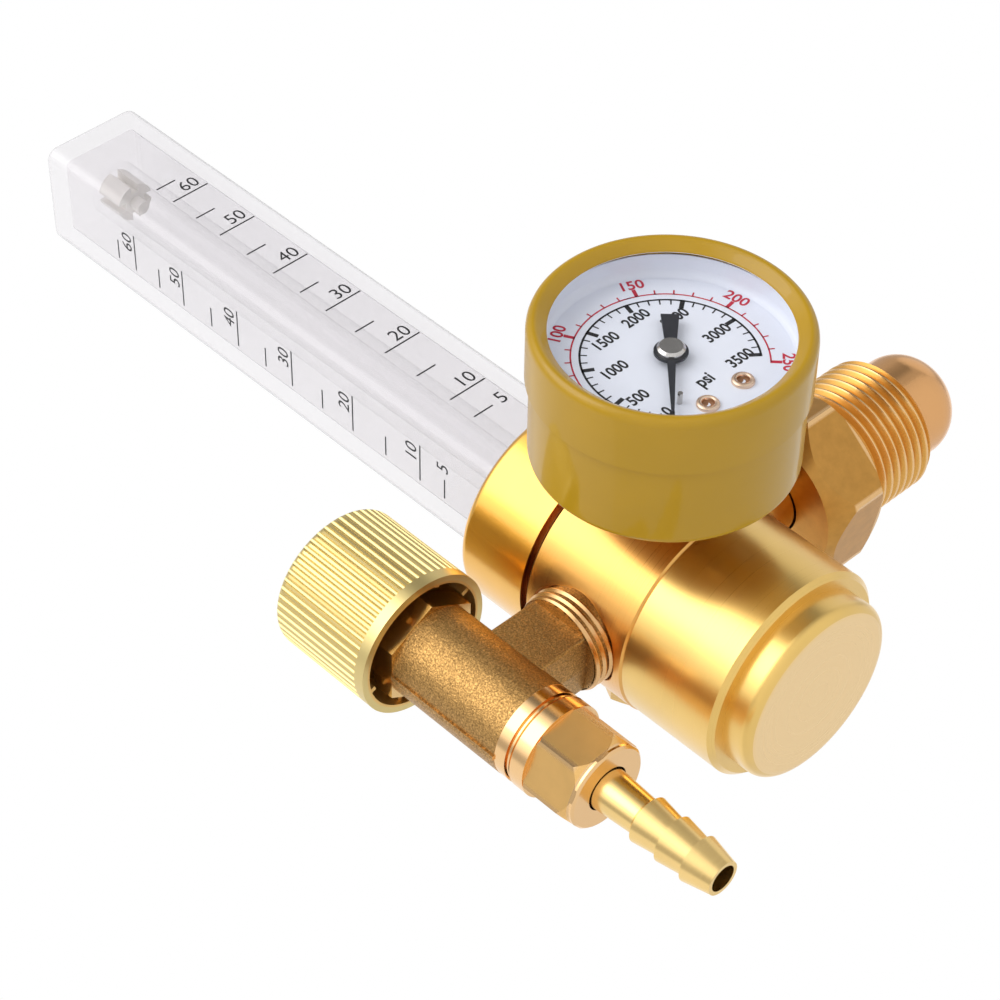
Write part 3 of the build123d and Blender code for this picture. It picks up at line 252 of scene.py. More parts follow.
    def sheen_over(self, under, ior, roughness):
        """Covers a shader with a mirror-like sheen by angle, on its outer side only."""
        gloss = self.node("ShaderNodeBsdfGlossy")
        gloss.inputs["Roughness"].default_value = roughness
        fresnel = self.node("ShaderNodeFresnel")
        fresnel.inputs["IOR"].default_value = ior
        side = self.node("ShaderNodeNewGeometry")
        front = self.math("SUBTRACT", 1.0, side.outputs["Backfacing"])
        mix = self.node("ShaderNodeMixShader")
        self.link(self.math("MULTIPLY", fresnel.outputs[0], front), mix.inputs[0])
        self.link(under, mix.inputs[1])
        self.link(gloss.outputs[0], mix.inputs[2])
        self.link(mix.outputs[0], self.tree.nodes["Material Output"].inputs["Surface"])


# Cells of noise a millimetre, along each axis where there are three
TURNED_RINGS = 6.0
MILLED_MARKS = (3.0, 3.0, 0.15)

# Relief, in millimetres
RING_HEIGHT = 0.0004
MARK_HEIGHT = 0.0006
ORANGE_PEEL = 0.004
FORGED_GRAIN = 0.004
CAST_WAVE = 0.12
CAST_GRAIN = 0.09
SINTER_GRAIN = 0.10

# Gloss
RING_SPREAD = 0.04              # roughness either way between rings
COAT_IOR = 1.6
CAST_ROUGHNESS = (0.52, 0.28)   # in the grain's pits and on its flecks
MACHINED_ROUGHNESS = 0.16
GRAZING_POWER = 4.0             # how late clear plastic turns hazy toward its edge
EDGE_BLEND = 0.15               # half the width of a finish's soft border, in millimetres

# The inlet nut: its hexagon's end, and where the painted highlight on its crests, corners and chamfer
# begins and is full, in millimetres
NUT_HEX_END = 39.5
NUT_CREST_HIGHLIGHT = (12.0, 12.2)
NUT_CORNER_HIGHLIGHT = (16.05, 16.25)
NUT_CHAMFER_HIGHLIGHT = (NUT_HEX_END - 0.75, NUT_HEX_END - 0.55)
NUT_EDGE_HIGHLIGHT = 0.8            # how bright the hexagon's edges get
NUT_MATT_ROUGHNESS = 0.32
NUT_SHINE_ROUGHNESS = 0.18


def darker(colour, factor):
    return tuple(value * factor for value in colour)


def turned_metal(name, colour, roughness, axis, centre, coat=0.0, patches=()):
    """Lathe-turned metal with fine rings about its axis and a slight colour drift.

    patches are (colour, (from, to, radius)): another colour between two levels along the axis
    and inside the radius, in mm."""
    shader = Shader(name, colour, metallic=1.0, roughness=roughness)
    if coat:
        shader.set("Coat Weight", coat)
        shader.set("Coat Roughness", roughness)
        shader.set("Coat IOR", COAT_IOR)
    lathe = shader.turned_place(axis, centre)
    fine = shader.rings(lathe, TURNED_RINGS)
    cloud = shader.noise(0.12, detail=2.0)
    tone = shader.colours(cloud, [(0.35, darker(colour, 0.94)), (0.65, colour)])
    shader.rough(fine, roughness - RING_SPREAD, roughness + RING_SPREAD)
    shader.bump(fine, RING_HEIGHT)
    for patch_colour, (low, high, within) in patches:
        tone = shader.patch(tone, lathe, patch_colour, low, high, within)
    return shader.mat


def milled_metal(name, colour, roughness):
    """Milled or drawn metal with fine straight marks."""
    shader = Shader(name, colour, metallic=1.0, roughness=roughness)
    marks = shader.noise(MILLED_MARKS, detail=4.0, roughness=0.7)
    cloud = shader.noise(0.15, detail=3.0)
    shader.colours(cloud, [(0.3, darker(colour, 0.88)), (0.7, colour)])
    shader.rough(marks, roughness - 0.05, roughness + 0.08)
    shader.bump(marks, MARK_HEIGHT)
    return shader.mat


def sintered_metal(name, colour, roughness):
    """Sintered bronze: coarse grain, pits and bright flecks."""
    shader = Shader(name, colour, metallic=1.0, roughness=roughness)
    grain = shader.noise(2.6, detail=5.0, roughness=0.65)
    coarse = shader.noise(0.5, detail=3.0)
    shader.colours(
        grain,
        [(0.30, darker(colour, 0.45)), (0.5, colour), (0.68, darker(colour, 1.55))],
    )
    shader.rough(grain, roughness + 0.12, roughness - 0.12)
    shader.bump(coarse, CAST_WAVE)
    shader.bump(grain, SINTER_GRAIN)
    return shader.mat


def gauge_paint(name, colour, lining, roughness, coat):
    """Glossy paint with a slight orange peel, and a white lining in the gauge's bore."""
    shader = Shader(name, colour, roughness=roughness, Coat_Weight=coat, Coat_Roughness=0.08)
    shader.set("Specular IOR Level", 0.15)
    cloud = shader.noise(0.08, detail=2.0)
    outside = shader.colours(cloud, [(0.3, darker(colour, 0.94)), (0.7, colour)])
    shader.bump(shader.noise(0.9, detail=2.0), ORANGE_PEEL)
    lathe = shader.turned_place("Y", BODY_AXIS)
    shader.patch(outside, lathe, lining, LINING_FRONT, LINING_BACK, LINING_R)
    return shader.mat


def zoned_metal(name, axis, centre, zones, base, edge, edge_r=None, rings=5.0):
    """Turned metal whose colour and roughness change by zone.

    zones are (from, to) along the axis in mm where the edge finish shows; edge_r is the
    radius in mm beyond which it shows as well. base and edge are (colour, roughness)."""
    shader = Shader(name, base[0], metallic=1.0, roughness=base[1])
    lathe = shader.turned_place(axis, centre)
    radius, along, _ = shader.split(lathe)
    masks = [shader.between(along, low, high) for low, high in zones]
    if edge_r:
        masks.append(shader.rise(radius, (edge_r - EDGE_BLEND, edge_r + EDGE_BLEND)))
    mask = masks[0]
    for more in masks[1:]:
        mask = shader.math("MAXIMUM", mask, more)
    cloud = shader.noise(0.2, detail=3.0)
    fine = shader.rings(lathe, rings)
    tone = shader.colours(cloud, [(0.3, darker(base[0], 0.9)), (0.7, base[0])])
    shader.blend(mask, tone, edge[0])
    shader.link(shader.remap(mask, 0.0, 1.0, base[1], edge[1]), shader.bsdf.inputs["Roughness"])
    shader.bump(fine, RING_HEIGHT)
    return shader.mat


def nut_metal(name, hexagon, thread, highlight_colour):
    """The inlet nut: matt flats and an amber thread, glossier on its corners, chamfer and crests, which
    also get a painted highlight.
    """
    shader = Shader(name, hexagon, metallic=1.0, roughness=NUT_MATT_ROUGHNESS)
    radius, along, _ = shader.split(shader.turned_place("X", BODY_AXIS))
    on_thread = shader.math("GREATER_THAN", along, NUT_HEX_END * MM)
    crest = shader.rise(radius, NUT_CREST_HIGHLIGHT)
    corner = shader.rise(radius, NUT_CORNER_HIGHLIGHT, NUT_EDGE_HIGHLIGHT)
    chamfer = shader.rise(along, NUT_CHAMFER_HIGHLIGHT, NUT_EDGE_HIGHLIGHT)
    bright = shader.math("MAXIMUM", corner, chamfer)
    hex_highlight = shader.math("MULTIPLY", bright, shader.math("SUBTRACT", 1.0, on_thread))
    mask = shader.math("ADD", hex_highlight, shader.math("MULTIPLY", crest, on_thread))
    cloud = shader.noise(0.45, detail=4.0, roughness=0.6)
    blotch = shader.colours(cloud, [(0.3, darker(hexagon, 0.84)), (0.7, hexagon)])
    # Painted highlight: corners, chamfer and thread crests take the bright colour
    shader.blend(mask, shader.blend(on_thread, blotch, thread), highlight_colour)
    matt_to_shine = shader.remap(mask, 0.0, 1.0, NUT_MATT_ROUGHNESS, NUT_SHINE_ROUGHNESS)
    shader.link(matt_to_shine, shader.bsdf.inputs["Roughness"])
    shader.bump(shader.noise(1.6, detail=4.0), FORGED_GRAIN)
    return shader.mat


def valve_metal(name, cast, machined, below):
    """Cast bronze above a level in mm, turned brass below it."""
    shader = Shader(name, cast, metallic=1.0)
    level = shader.split(shader.place())[2]
    is_cast = shader.math("GREATER_THAN", level, below * MM)
    grain = shader.noise(3.4, detail=5.0, roughness=0.65)
    coarse = shader.noise(0.5, detail=3.0)
    tone = shader.colours(
        grain,
        [(0.30, darker(cast, 0.45)), (0.5, cast), (0.62, darker(cast, 1.5)), (0.72, darker(cast, 2.0))],
    )
    shader.blend(is_cast, machined, tone)
    dull = shader.math("MULTIPLY", shader.remap(grain, 0.3, 0.7, *CAST_ROUGHNESS), is_cast)
    polish = shader.math("MULTIPLY", shader.math("SUBTRACT", 1.0, is_cast), MACHINED_ROUGHNESS)
    shader.link(shader.math("ADD", dull, polish), shader.bsdf.inputs["Roughness"])
    shader.bump(shader.math("MULTIPLY", coarse, is_cast), CAST_WAVE)
    shader.bump(shader.math("MULTIPLY", grain, is_cast), CAST_GRAIN)
    return shader.mat


def plain(name, colour, metallic=0.0, roughness=0.5, drift=0.9, bump=0.003):
    """A quiet finish: slight drift in colour and fine grain."""
    shader = Shader(name, colour, metallic=metallic, roughness=roughness)
    cloud = shader.noise(0.4, detail=3.0)
    shader.colours(cloud, [(0.3, darker(colour, drift)), (0.7, colour)])
    shader.bump(shader.noise(4.0, detail=2.0), bump)
    return shader.mat


def clear_film(name, tint, haze_colour, haze, edge, ior):
    """Clear plastic: tinted see-through with a little haze, hazier where seen edge-on."""
    shader = Shader(name, haze_colour, roughness=0.5)
    cloud = shader.noise(0.06, detail=2.0)
    shader.colours(cloud, [(0.3, darker(haze_colour, 0.96)), (0.7, haze_colour)])
    clear = shader.node("ShaderNodeBsdfTransparent")
    clear.inputs["Color"].default_value = (*tint, 1.0)
    facing = shader.node("ShaderNodeLayerWeight")
    facing.inputs["Blend"].default_value = 0.5
    grazing = shader.math("POWER", facing.outputs["Facing"], GRAZING_POWER)
    share = shader.math("ADD", shader.math("MULTIPLY", grazing, edge), haze)
    hazy = shader.node("ShaderNodeMixShader")
    shader.link(share, hazy.inputs[0])
    shader.link(clear.outputs[0], hazy.inputs[1])
    shader.link(shader.bsdf.outputs[0], hazy.inputs[2])
    shader.sheen_over(hazy.outputs[0], ior, 0.05)
    return shader.mat


def window(name, ior):
    """A thin flat window: see-through with a mirror-like sheen by angle."""
    shader = Shader(name, (1.0, 1.0, 1.0), roughness=0.02)
    clear = shader.node("ShaderNodeBsdfTransparent")
    shader.sheen_over(clear.outputs[0], ior, 0.02)
    return shader.mat


# Colours, linear

GOLD = (0.83, 0.43, 0.09)
GOLD_BONNET = (0.88, 0.58, 0.16)
GOLD_COLLAR = (0.94, 0.51, 0.085)
# Painted reflection: the bonnet's end face is paler, as it looks when it mirrors bright surroundings
GOLD_FACE_REFLECTION = (0.94, 0.66, 0.30)
GOLD_PALE = (0.73, 0.58, 0.25)
GOLD_BARB = (0.92, 0.65, 0.26)
BRASS = (0.84, 0.56, 0.24)
BRASS_NOSE = (0.80, 0.43, 0.18)
BRASS_MATT = (0.58, 0.295, 0.07)
BRASS_NUT = (0.92, 0.56, 0.20)
# Bright machined brass; on the inlet nut's corners, chamfer and crests it is a painted highlight
BRASS_SHINE = (0.90, 0.58, 0.28)
BRASS_AMBER = (0.74, 0.40, 0.10)
GOLD_INNER = (0.84, 0.56, 0.20)
BRASS_BRANCH = (0.78, 0.46, 0.20)
EYELET = (0.82, 0.60, 0.44)
# Painted shade: the darker amber inside the body's and the collar's groove
GROOVE_SHADE = (0.46, 0.20, 0.05)
BRONZE = (0.42, 0.24, 0.08)
MUSTARD = (0.44, 0.255, 0.008)
DIAL_WHITE = (0.78, 0.81, 0.90)
STEEL = (0.62, 0.60, 0.58)
SPRING_STEEL = (0.5, 0.5, 0.52)
BLACK_INK = (0.012, 0.012, 0.014)
RED_INK = (0.55, 0.02, 0.05)
POINTER_BLACK = (0.02, 0.022, 0.03)
# Painted shade: the dark dish inside each dial eyelet
HOLE_SHADE_BROWN = (0.26, 0.12, 0.05)
RUBBER_BLACK = (0.02, 0.02, 0.02)
NYLON = (0.78, 0.76, 0.68)
CLEAR_TINT = (0.984, 0.977, 0.984)
CLEAR_HAZE = (0.80, 0.79, 0.81)
TUBE_TINT = (0.996, 0.994, 0.996)
TUBE_HAZE = (0.84, 0.83, 0.84)
STOP_PLASTIC = (0.84, 0.81, 0.76)

# Where a finish changes, in millimetres from the piece's own axis

# Patches on turned metal: from and to along the axis, and the radius that they stay within
# The groove patches are painted shade, a darker amber where the groove lies
BODY_GROOVE = (10.9, 12.1, 18.9)
COLLAR_GROOVE = (11.9, 12.1, 18.9)
# The bonnet's end face is painted paler: a painted reflection
BONNET_END = (-36.0, -35.5, 20.0)

# Zones with the edge finish, and the radius beyond which it shows as well
KNOB_RIM = [(36.0, 37.0)]
KNOB_FLUTES_R = 11.9
HOSE_NUT_ENDS = [(-16.5, -13.4), (-28.0, -25.4)]
HOSE_NUT_CORNER_R = 8.4
# The inlet nipple's shank, between the nut and the body, is a darker amber than its tip: painted shade
NOSE_TIP = [(56.0, 80.0)]

VALVE_MACHINED_BELOW = -10.2    # level of the barrel's lower end

# The gauge's white bore: its radius, and its ends along Y
LINING_R = 20.45
LINING_FRONT = -52.8
LINING_BACK = -29.4

MATS = {
    "gold": turned_metal(
        "gold_anodised", GOLD, 0.30, "Z", BODY_AXIS, coat=0.6, patches=[(GROOVE_SHADE, BODY_GROOVE)],
    ),
    "gold_bonnet": turned_metal(
        "gold_bonnet", GOLD_BONNET, 0.30, "Z", BODY_AXIS, coat=0.6, patches=[(GOLD_FACE_REFLECTION, BONNET_END)],
    ),
    "gold_collar": turned_metal(
        "gold_collar", GOLD_COLLAR, 0.22, "Z", BODY_AXIS, coat=0.6, patches=[(GROOVE_SHADE, COLLAR_GROOVE)],
    ),
    "knob": zoned_metal(
        "knob_plate", "Z", VALVE_AXIS, KNOB_RIM, base=(GOLD_INNER, 0.5), edge=(GOLD_PALE, 0.38),
        edge_r=KNOB_FLUTES_R, rings=0.6,
    ),
    "inlet": nut_metal("inlet_brass", BRASS_MATT, BRASS_AMBER, BRASS_SHINE),
    "hose_nut": zoned_metal(
        "hose_nut_brass", "Z", VALVE_AXIS, HOSE_NUT_ENDS, base=(BRASS_NUT, 0.3), edge=(BRASS_SHINE, 0.18),
        edge_r=HOSE_NUT_CORNER_R,
    ),
    # Painted shade: the nipple's shank is darker than its tip
    "nose": zoned_metal(
        "nose_brass", "X", BODY_AXIS, NOSE_TIP, base=(BRASS_AMBER, 0.22), edge=(BRASS_NOSE, 0.2),
    ),
    "brass": turned_metal("turned_brass", BRASS, 0.2, "Z", VALVE_AXIS),
    "branch": turned_metal("branch_brass", BRASS_BRANCH, 0.22, "X", BODY_AXIS),
    "barb": turned_metal("barb_plate", GOLD_BARB, 0.22, "Z", VALVE_AXIS),
    "brass_plain": milled_metal("brass_plain", BRASS, 0.28),
    "cast": valve_metal("cast_bronze", BRONZE, BRASS_SHINE, VALVE_MACHINED_BELOW),
    "sinter": sintered_metal("sintered_bronze", BRONZE, 0.55),
    "mustard": gauge_paint("mustard_paint", MUSTARD, DIAL_WHITE, roughness=0.36, coat=0.5),
    "dial": plain("dial_white", DIAL_WHITE, roughness=0.45, drift=0.98, bump=0.001),
    "black_ink": plain("black_ink", BLACK_INK, roughness=0.6, drift=0.7),
    "red_ink": plain("red_ink", RED_INK, roughness=0.6),
    "pointer": plain("pointer_paint", POINTER_BLACK, roughness=0.4),
    "eyelet_hole_shade": plain("painted_hole_shade", HOLE_SHADE_BROWN, roughness=0.7),
    "eyelet": plain("eyelet_plate", EYELET, metallic=1.0, roughness=0.24, bump=0.001),
    "steel": plain("bright_steel", STEEL, metallic=1.0, roughness=0.22, bump=0.001),
    "spring": milled_metal("spring_wire", SPRING_STEEL, 0.3),
    "rubber": plain("seal_rubber", RUBBER_BLACK, roughness=0.6),
    "nylon": plain("seat_nylon", NYLON, roughness=0.5),
    "clear": clear_film("clear_plastic", CLEAR_TINT, CLEAR_HAZE, haze=0.07, edge=1.4, ior=1.45),
    "tube": clear_film("tube_plastic", TUBE_TINT, TUBE_HAZE, haze=0.008, edge=0.22, ior=1.12),
    "stop": plain("stop_plastic", STOP_PLASTIC, roughness=0.35, drift=0.96, bump=0.001),
    "window": window("gauge_window", 1.2),
}

# The nodes that have each finish
NODE_FINISH = {
    "gold": ["body_block"],
    "gold_bonnet": ["bottom_bonnet"],
    "gold_collar": ["cover_collar"],
    "knob": ["valve_knob"],
    "inlet": ["inlet_nut"],
    "nose": ["inlet_nipple"],
    "brass": ["packing_nut", "valve_stem", "nozzle", "stem_guide", "tube_seat"],
    "hose_nut": ["hose_nut"],
    "barb": ["hose_barb"],
    "brass_plain": [
        "piston", "relief_body", "relief_cap", "gauge_socket", "bourdon_tube",
        "movement_bottom_plate", "movement_top_plate", "sector_gear", "dial_screws",
    ],
    "cast": ["valve_body"],
    "sinter": ["inlet_filter"],
    "mustard": ["gauge_case", "gauge_bezel"],
    "dial": ["gauge_dial"],
    "pointer": ["pointer"],
    "steel": [
        "case_screws", "zero_pin", "sector_arbor", "movement_link", "pinion_arbor",
        "pointer_cap", "knob_screw", "float_ball",
    ],
    "spring": ["main_spring", "relief_spring", "hairspring"],
    "rubber": ["stem_guide_seal", "piston_seal", "cover_seal", "tube_seal", "stem_seal"],
    "nylon": ["seat_disc", "relief_poppet"],
    "clear": ["flow_tube_cover"],
    "tube": ["flow_tube"],
    "stop": ["float_stop"],
    "window": ["gauge_lens"],
}


def dress_nodes():
    """Gives every carried-over node its finish."""
    for finish, names in NODE_FINISH.items():
        for name in names:
            node = NODES[name]
            node.data.materials.clear()
            node.data.materials.append(MATS[finish])


# Threads, in millimetres

THREAD_STEPS = 96

# One turn of the branch's thread: share of the pitch, and whether it is at the crest
TURN_PROFILE = [(0.0, False), (0.12, False), (0.44, True), (0.56, True), (0.88, False)]
BRANCH_THREAD = {"crest": 8.78, "root": 8.30, "inner": 8.1, "pitch": 1.41, "low": -22.3, "high": -17.9}

# The inlet nut's cut thread, from the photograph's size cue
NUT_CREST = 12.25
NUT_ROOT = 11.36
NUT_PITCH = 1.814
NUT_THREAD_FROM = 40.42
NUT_THREAD_TO = 57.6
GROOVE_OVERCUT = 0.08           # the cutter beyond the crest
GROOVE_TOP = 0.875              # the groove's width at the top, as a share of the pitch
GROOVE_TOP_EXTRA = 0.09
GROOVE_FLOOR = 0.16             # the groove's width at the root, as a share of the pitch


def swept(rows, closed):
    """Vertices and faces from rows of points; the rows join into a loop if closed."""
    width = len(rows[0])
    vertices = [point for row in rows for point in row]
    faces = []
    for a in range(len(rows) if closed else len(rows) - 1):
        b = (a + 1) % len(rows)
        for i in range(width - 1):
            faces.append((a * width + i, a * width + i + 1, b * width + i + 1, b * width + i))
    return vertices, faces


def thread_sleeve(crest, root, inner, pitch, low, high):
    """A closed sleeve on the Z axis with a screw thread outside."""
    profile = [(share, crest if at_crest else root) for share, at_crest in TURN_PROFILE]
    turns = math.ceil((high - low) / pitch) + 1

    def row(share, radius):
        points = []
        for step in range(THREAD_STEPS + 1):
            z = min(max(low + (share + step / THREAD_STEPS) * pitch, low), high)
            r = min(radius, root + min(z - low, high - z))
            points.append(on_circle(r, step, z))
        return points

    rows = [[on_circle(inner, step, low) for step in range(THREAD_STEPS + 1)]]
    rows += [row(turn + share, radius) for turn in range(-1, turns + 1) for share, radius in profile]
    rows.append([on_circle(inner, step, high) for step in range(THREAD_STEPS + 1)])
    return swept(rows, closed=True)


def on_circle(radius, step, z):
    """A point of a thread, by its step round the Z axis."""
    angle = 2 * math.pi * step / THREAD_STEPS
    return (radius * math.cos(angle), radius * math.sin(angle), z)


def groove_cutter(crest, root, pitch, first, last):
    """The closed helical groove between the turns of a thread, on the Z axis."""
    out = crest + GROOVE_OVERCUT
    wide = pitch * GROOVE_TOP + GROOVE_TOP_EXTRA
    narrow = pitch * GROOVE_FLOOR
    steps = round((last - first) / pitch * THREAD_STEPS)
    rows = []
    for radius, offset in ((root, -narrow / 2), (out, -wide / 2), (out, wide / 2), (root, narrow / 2)):
        rows.append([
            on_circle(radius, step, first + offset + pitch * step / THREAD_STEPS)
            for step in range(steps + 1)
        ])
    vertices, faces = swept(rows, closed=True)
    width = steps + 1
    faces.append(tuple(row * width for row in range(4)))
    faces.append(tuple(row * width + steps for row in reversed(range(4))))
    return vertices, faces


def on_inlet_axis(vertices):
    """Points on the Z axis turned onto the axis along X that the inlet and the outlet share."""
    turn = Vector((0, 0, 1)).rotation_difference(Vector((1, 0, 0)))
    return [tuple(turn @ Vector(point) + Vector(BODY_AXIS)) for point in vertices]


def threaded_nut():
    """The inlet nut with its cylinder thread cut by a groove."""
    vertices, faces = groove_cutter(NUT_CREST, NUT_ROOT, NUT_PITCH, NUT_THREAD_FROM, NUT_THREAD_TO)
    cutter = add_mesh("thread_cutter", on_inlet_axis(vertices), faces, "inlet_nut", MATS["inlet"])
    nut = bpy.data.objects.new("inlet_nut_threaded", NODES["inlet_nut"].data.copy())
    collection().objects.link(nut)
    weld = nut.modifiers.new("weld", "WELD")
    weld.merge_threshold = 1e-7
    cut = nut.modifiers.new("cut", "BOOLEAN")
    cut.object = cutter
    cut.solver = "EXACT"
    bpy.context.view_layer.update()
    graph = bpy.context.evaluated_depsgraph_get()
    mesh = bpy.data.meshes.new_from_object(nut.evaluated_get(graph))
    bpy.data.objects.remove(nut)
    bpy.data.objects.remove(cutter)
    piece = finish_mesh("inlet_nut_threaded", mesh, "inlet_nut", MATS["inlet"])
    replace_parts(piece, "inlet_nut")


def branch_thread():
    """Thread of the valve's branch."""
    vertices, faces = thread_sleeve(**BRANCH_THREAD)
    add_mesh("branch_thread", on_inlet_axis(vertices), faces, "fixed", MATS["branch"])


# Each spring: its node, its joint, the axis it shortens along, its fixed end and the travel, in mm
SPRINGS = [
    ("main_spring", "piston_travel", 2, -17.0, 1.0),
    ("relief_spring", "relief_lift", 1, 19.85, 1.0),
]


def shortening_springs():
    """The two coil springs as copies of their meshes, held on the fixed body in place of the carried-over
    ones.
    """
    for name, joint, along, fixed_end, travel in SPRINGS:
        coil = bpy.data.objects.new(f"{name}_coil", NODES[name].data.copy())
        collection().objects.link(coil)
        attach(coil, "fixed")
        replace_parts(coil, name)
        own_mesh(coil)


# Print

CAPITAL_SHARE = 0.7         # height of a numeral as a share of the font's size


def text_mesh(name, words, height, body, mat, matrix, squeeze=1.0, bold=0.0):
    """Flat lettering as a mesh, centred, in millimetres; bold thickens it by a share of its height."""
    curve = bpy.data.curves.new(name, "FONT")
    curve.body = words
    curve.size = height / CAPITAL_SHARE * MM
    curve.align_x = "CENTER"
    curve.align_y = "CENTER"
    curve.extrude = INK_THICKNESS / 2 * MM
    curve.offset = bold * height * MM
    curve.resolution_u = 4
    holder = bpy.data.objects.new(name, curve)
    collection().objects.link(holder)
    bpy.context.view_layer.update()
    graph = bpy.context.evaluated_depsgraph_get()
    mesh = bpy.data.meshes.new_from_object(holder.evaluated_get(graph))
    bpy.data.objects.remove(holder)
    mesh.name = name
    mesh.transform(Matrix.Diagonal((squeeze, 1.0, 1.0, 1.0)))
    mesh.transform(matrix)
    mesh.materials.clear()
    mesh.materials.append(mat)
    piece = bpy.data.objects.new(name, mesh)
    collection().objects.link(piece)
    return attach(piece, body)


def polar(radius, degrees):
    """Right and up from a radius and an angle."""
    angle = math.radians(degrees)
    return radius * math.cos(angle), radius * math.sin(angle)


def dial_box(points):
    """A thin slab of print on the dial from an outline (right, up) seen from the front."""
    count = len(points)
    vertices = [(BODY_X + x, -DIAL_PRINT, y) for x, y in points]
    vertices += [(BODY_X + x, -DIAL_PRINT - INK_THICKNESS, y) for x, y in points]
    faces = [tuple(range(count)), tuple(range(2 * count - 1, count - 1, -1))]
    for i in range(count):
        j = (i + 1) % count
        faces.append((i, j, j + count, i + count))
    return vertices, faces


def gather(parts):
    """Joins several (vertices, faces) lists."""
    vertices, faces = [], []
    for more, outline in parts:
        start = len(vertices)
        vertices += more
        faces += [tuple(index + start for index in face) for face in outline]
    return vertices, faces


# The dial's scales: full value, angle of zero and sweep, and the arc's radius and half its width
BLACK_FULL = 3500
BLACK_ZERO_DEG = 225.0
BLACK_SWEEP_DEG = 264.5
BLACK_ARC_R = 13.9
BLACK_HALF = 0.17
RED_FULL = 250
RED_ZERO_DEG = 229.0
RED_SWEEP_DEG = 275.0
RED_ARC_R = 15.3
RED_HALF = 0.13
ARC_STEPS = 120

# Ticks: length from the arc's middle, and width
BLACK_MAJOR, BLACK_MINOR = (1.9, 0.75), (1.15, 0.24)
RED_MAJOR, RED_MINOR = (1.7, 0.62), (0.95, 0.26)

# Each black numeral's radius and angle; they then sit lower by NUMERAL_DROP
BLACK_NUMERALS = {
    "0": (11.6, -141.5), "500": (10.3, 191.7), "1000": (9.5, 150.0), "1500": (11.3, 113.3),
    "2000": (11.35, 75.3), "2500": (10.2, 43.3), "3000": (9.5, 0.2), "3500": (10.1, -39.2),
}
UNIT_PLACE = (6.1, -88.6)
NUMERAL_DROP = -0.87
NUMERAL_HEIGHT = 2.0
UNIT_HEIGHT = 2.3
RED_NUMERAL_R = 18.0


def arc_band(radius, half, start, end):
    """A curved band on the dial between two angles in degrees."""
    inner, outer = radius - half, radius + half
    parts = []
    for step in range(ARC_STEPS):
        a = start + (end - start) * step / ARC_STEPS
        b = start + (end - start) * (step + 1) / ARC_STEPS
        parts.append(dial_box([polar(inner, a), polar(outer, a), polar(outer, b), polar(inner, b)]))
    return gather(parts)


def tick(angle, inner, outer, width):
    """One radial tick."""
    x0, y0 = polar(inner, angle)
    x1, y1 = polar(outer, angle)
    dx, dy = polar(width / 2, angle + 90)
    return dial_box([(x0 - dx, y0 - dy), (x1 - dx, y1 - dy), (x1 + dx, y1 + dy), (x0 + dx, y0 + dy)])


def black_angle(value):
    return BLACK_ZERO_DEG - BLACK_SWEEP_DEG * value / BLACK_FULL


def red_angle(value):
    return RED_ZERO_DEG - RED_SWEEP_DEG * value / RED_FULL


def dial_place(radius, angle, turn_deg=0.0, drop=NUMERAL_DROP):
    """Places print on the dial at a radius and an angle, seen from the front."""
    x, y = polar(radius, angle)
    place = Matrix.Translation(Vector((BODY_X + x, -DIAL_PRINT, y + drop)) * MM)
    return place @ Matrix.Rotation(math.pi / 2, 4, "X") @ Matrix.Rotation(math.radians(turn_deg), 4, "Z")


def dial_print():
    """The dial's two scales, numerals and unit."""
    black = [arc_band(BLACK_ARC_R, BLACK_HALF, black_angle(0), black_angle(BLACK_FULL))]
    for value in range(0, BLACK_FULL + 1, 100):
        length, width = BLACK_MAJOR if value % 500 == 0 else BLACK_MINOR
        black.append(tick(black_angle(value), BLACK_ARC_R - length, BLACK_ARC_R + BLACK_HALF, width))
    add_mesh("dial_print_black_scale", *gather(black), "fixed", MATS["black_ink"])
    red = [arc_band(RED_ARC_R, RED_HALF, red_angle(0), red_angle(RED_FULL))]
    for value in range(0, RED_FULL + 1, 10):
        length, width = RED_MAJOR if value % 50 == 0 else RED_MINOR
        red.append(tick(red_angle(value), RED_ARC_R - RED_HALF, RED_ARC_R + length, width))
    add_mesh("dial_print_red_scale", *gather(red), "fixed", MATS["red_ink"])
    for words, (radius, angle) in BLACK_NUMERALS.items():
        text_mesh(
            f"dial_numeral_{words}", words, NUMERAL_HEIGHT, "fixed", MATS["black_ink"],
            dial_place(radius, angle), squeeze=0.88, bold=0.035,
        )
    text_mesh(
        "dial_unit", "psi", UNIT_HEIGHT, "fixed", MATS["black_ink"],
        dial_place(*UNIT_PLACE), squeeze=0.84, bold=0.035,
    )
    for value in range(50, RED_FULL + 1, 50):
        angle = red_angle(value)
        text_mesh(
            f"dial_red_numeral_{value}", str(value), NUMERAL_HEIGHT, "fixed", MATS["red_ink"],
            dial_place(RED_NUMERAL_R, angle, angle - 90, drop=0.0), bold=0.03,
        )


# The dial's eyelets: profiles of (radius, height over the dial), and their places
EYELET_PROFILE = [
    (1.85, 0.0), (1.85, 0.18), (1.74, 0.42), (1.5, 0.58),
    (1.22, 0.62), (1.02, 0.52), (0.92, 0.32), (0.88, 0.05),
]
# A shallow dark dish that closes each eyelet's hole: painted shade of the hole
HOLE_SHADE_PROFILE = [(0.95, 0.06), (0.4, 0.0), (0.0, -0.05)]
EYELET_STEPS = 40
EYELET_RING_R = 11.0
EYELET_SPREAD_DEG = 20.6        # either side of straight down
EYELET_SHIFT = (0.35, -0.85)


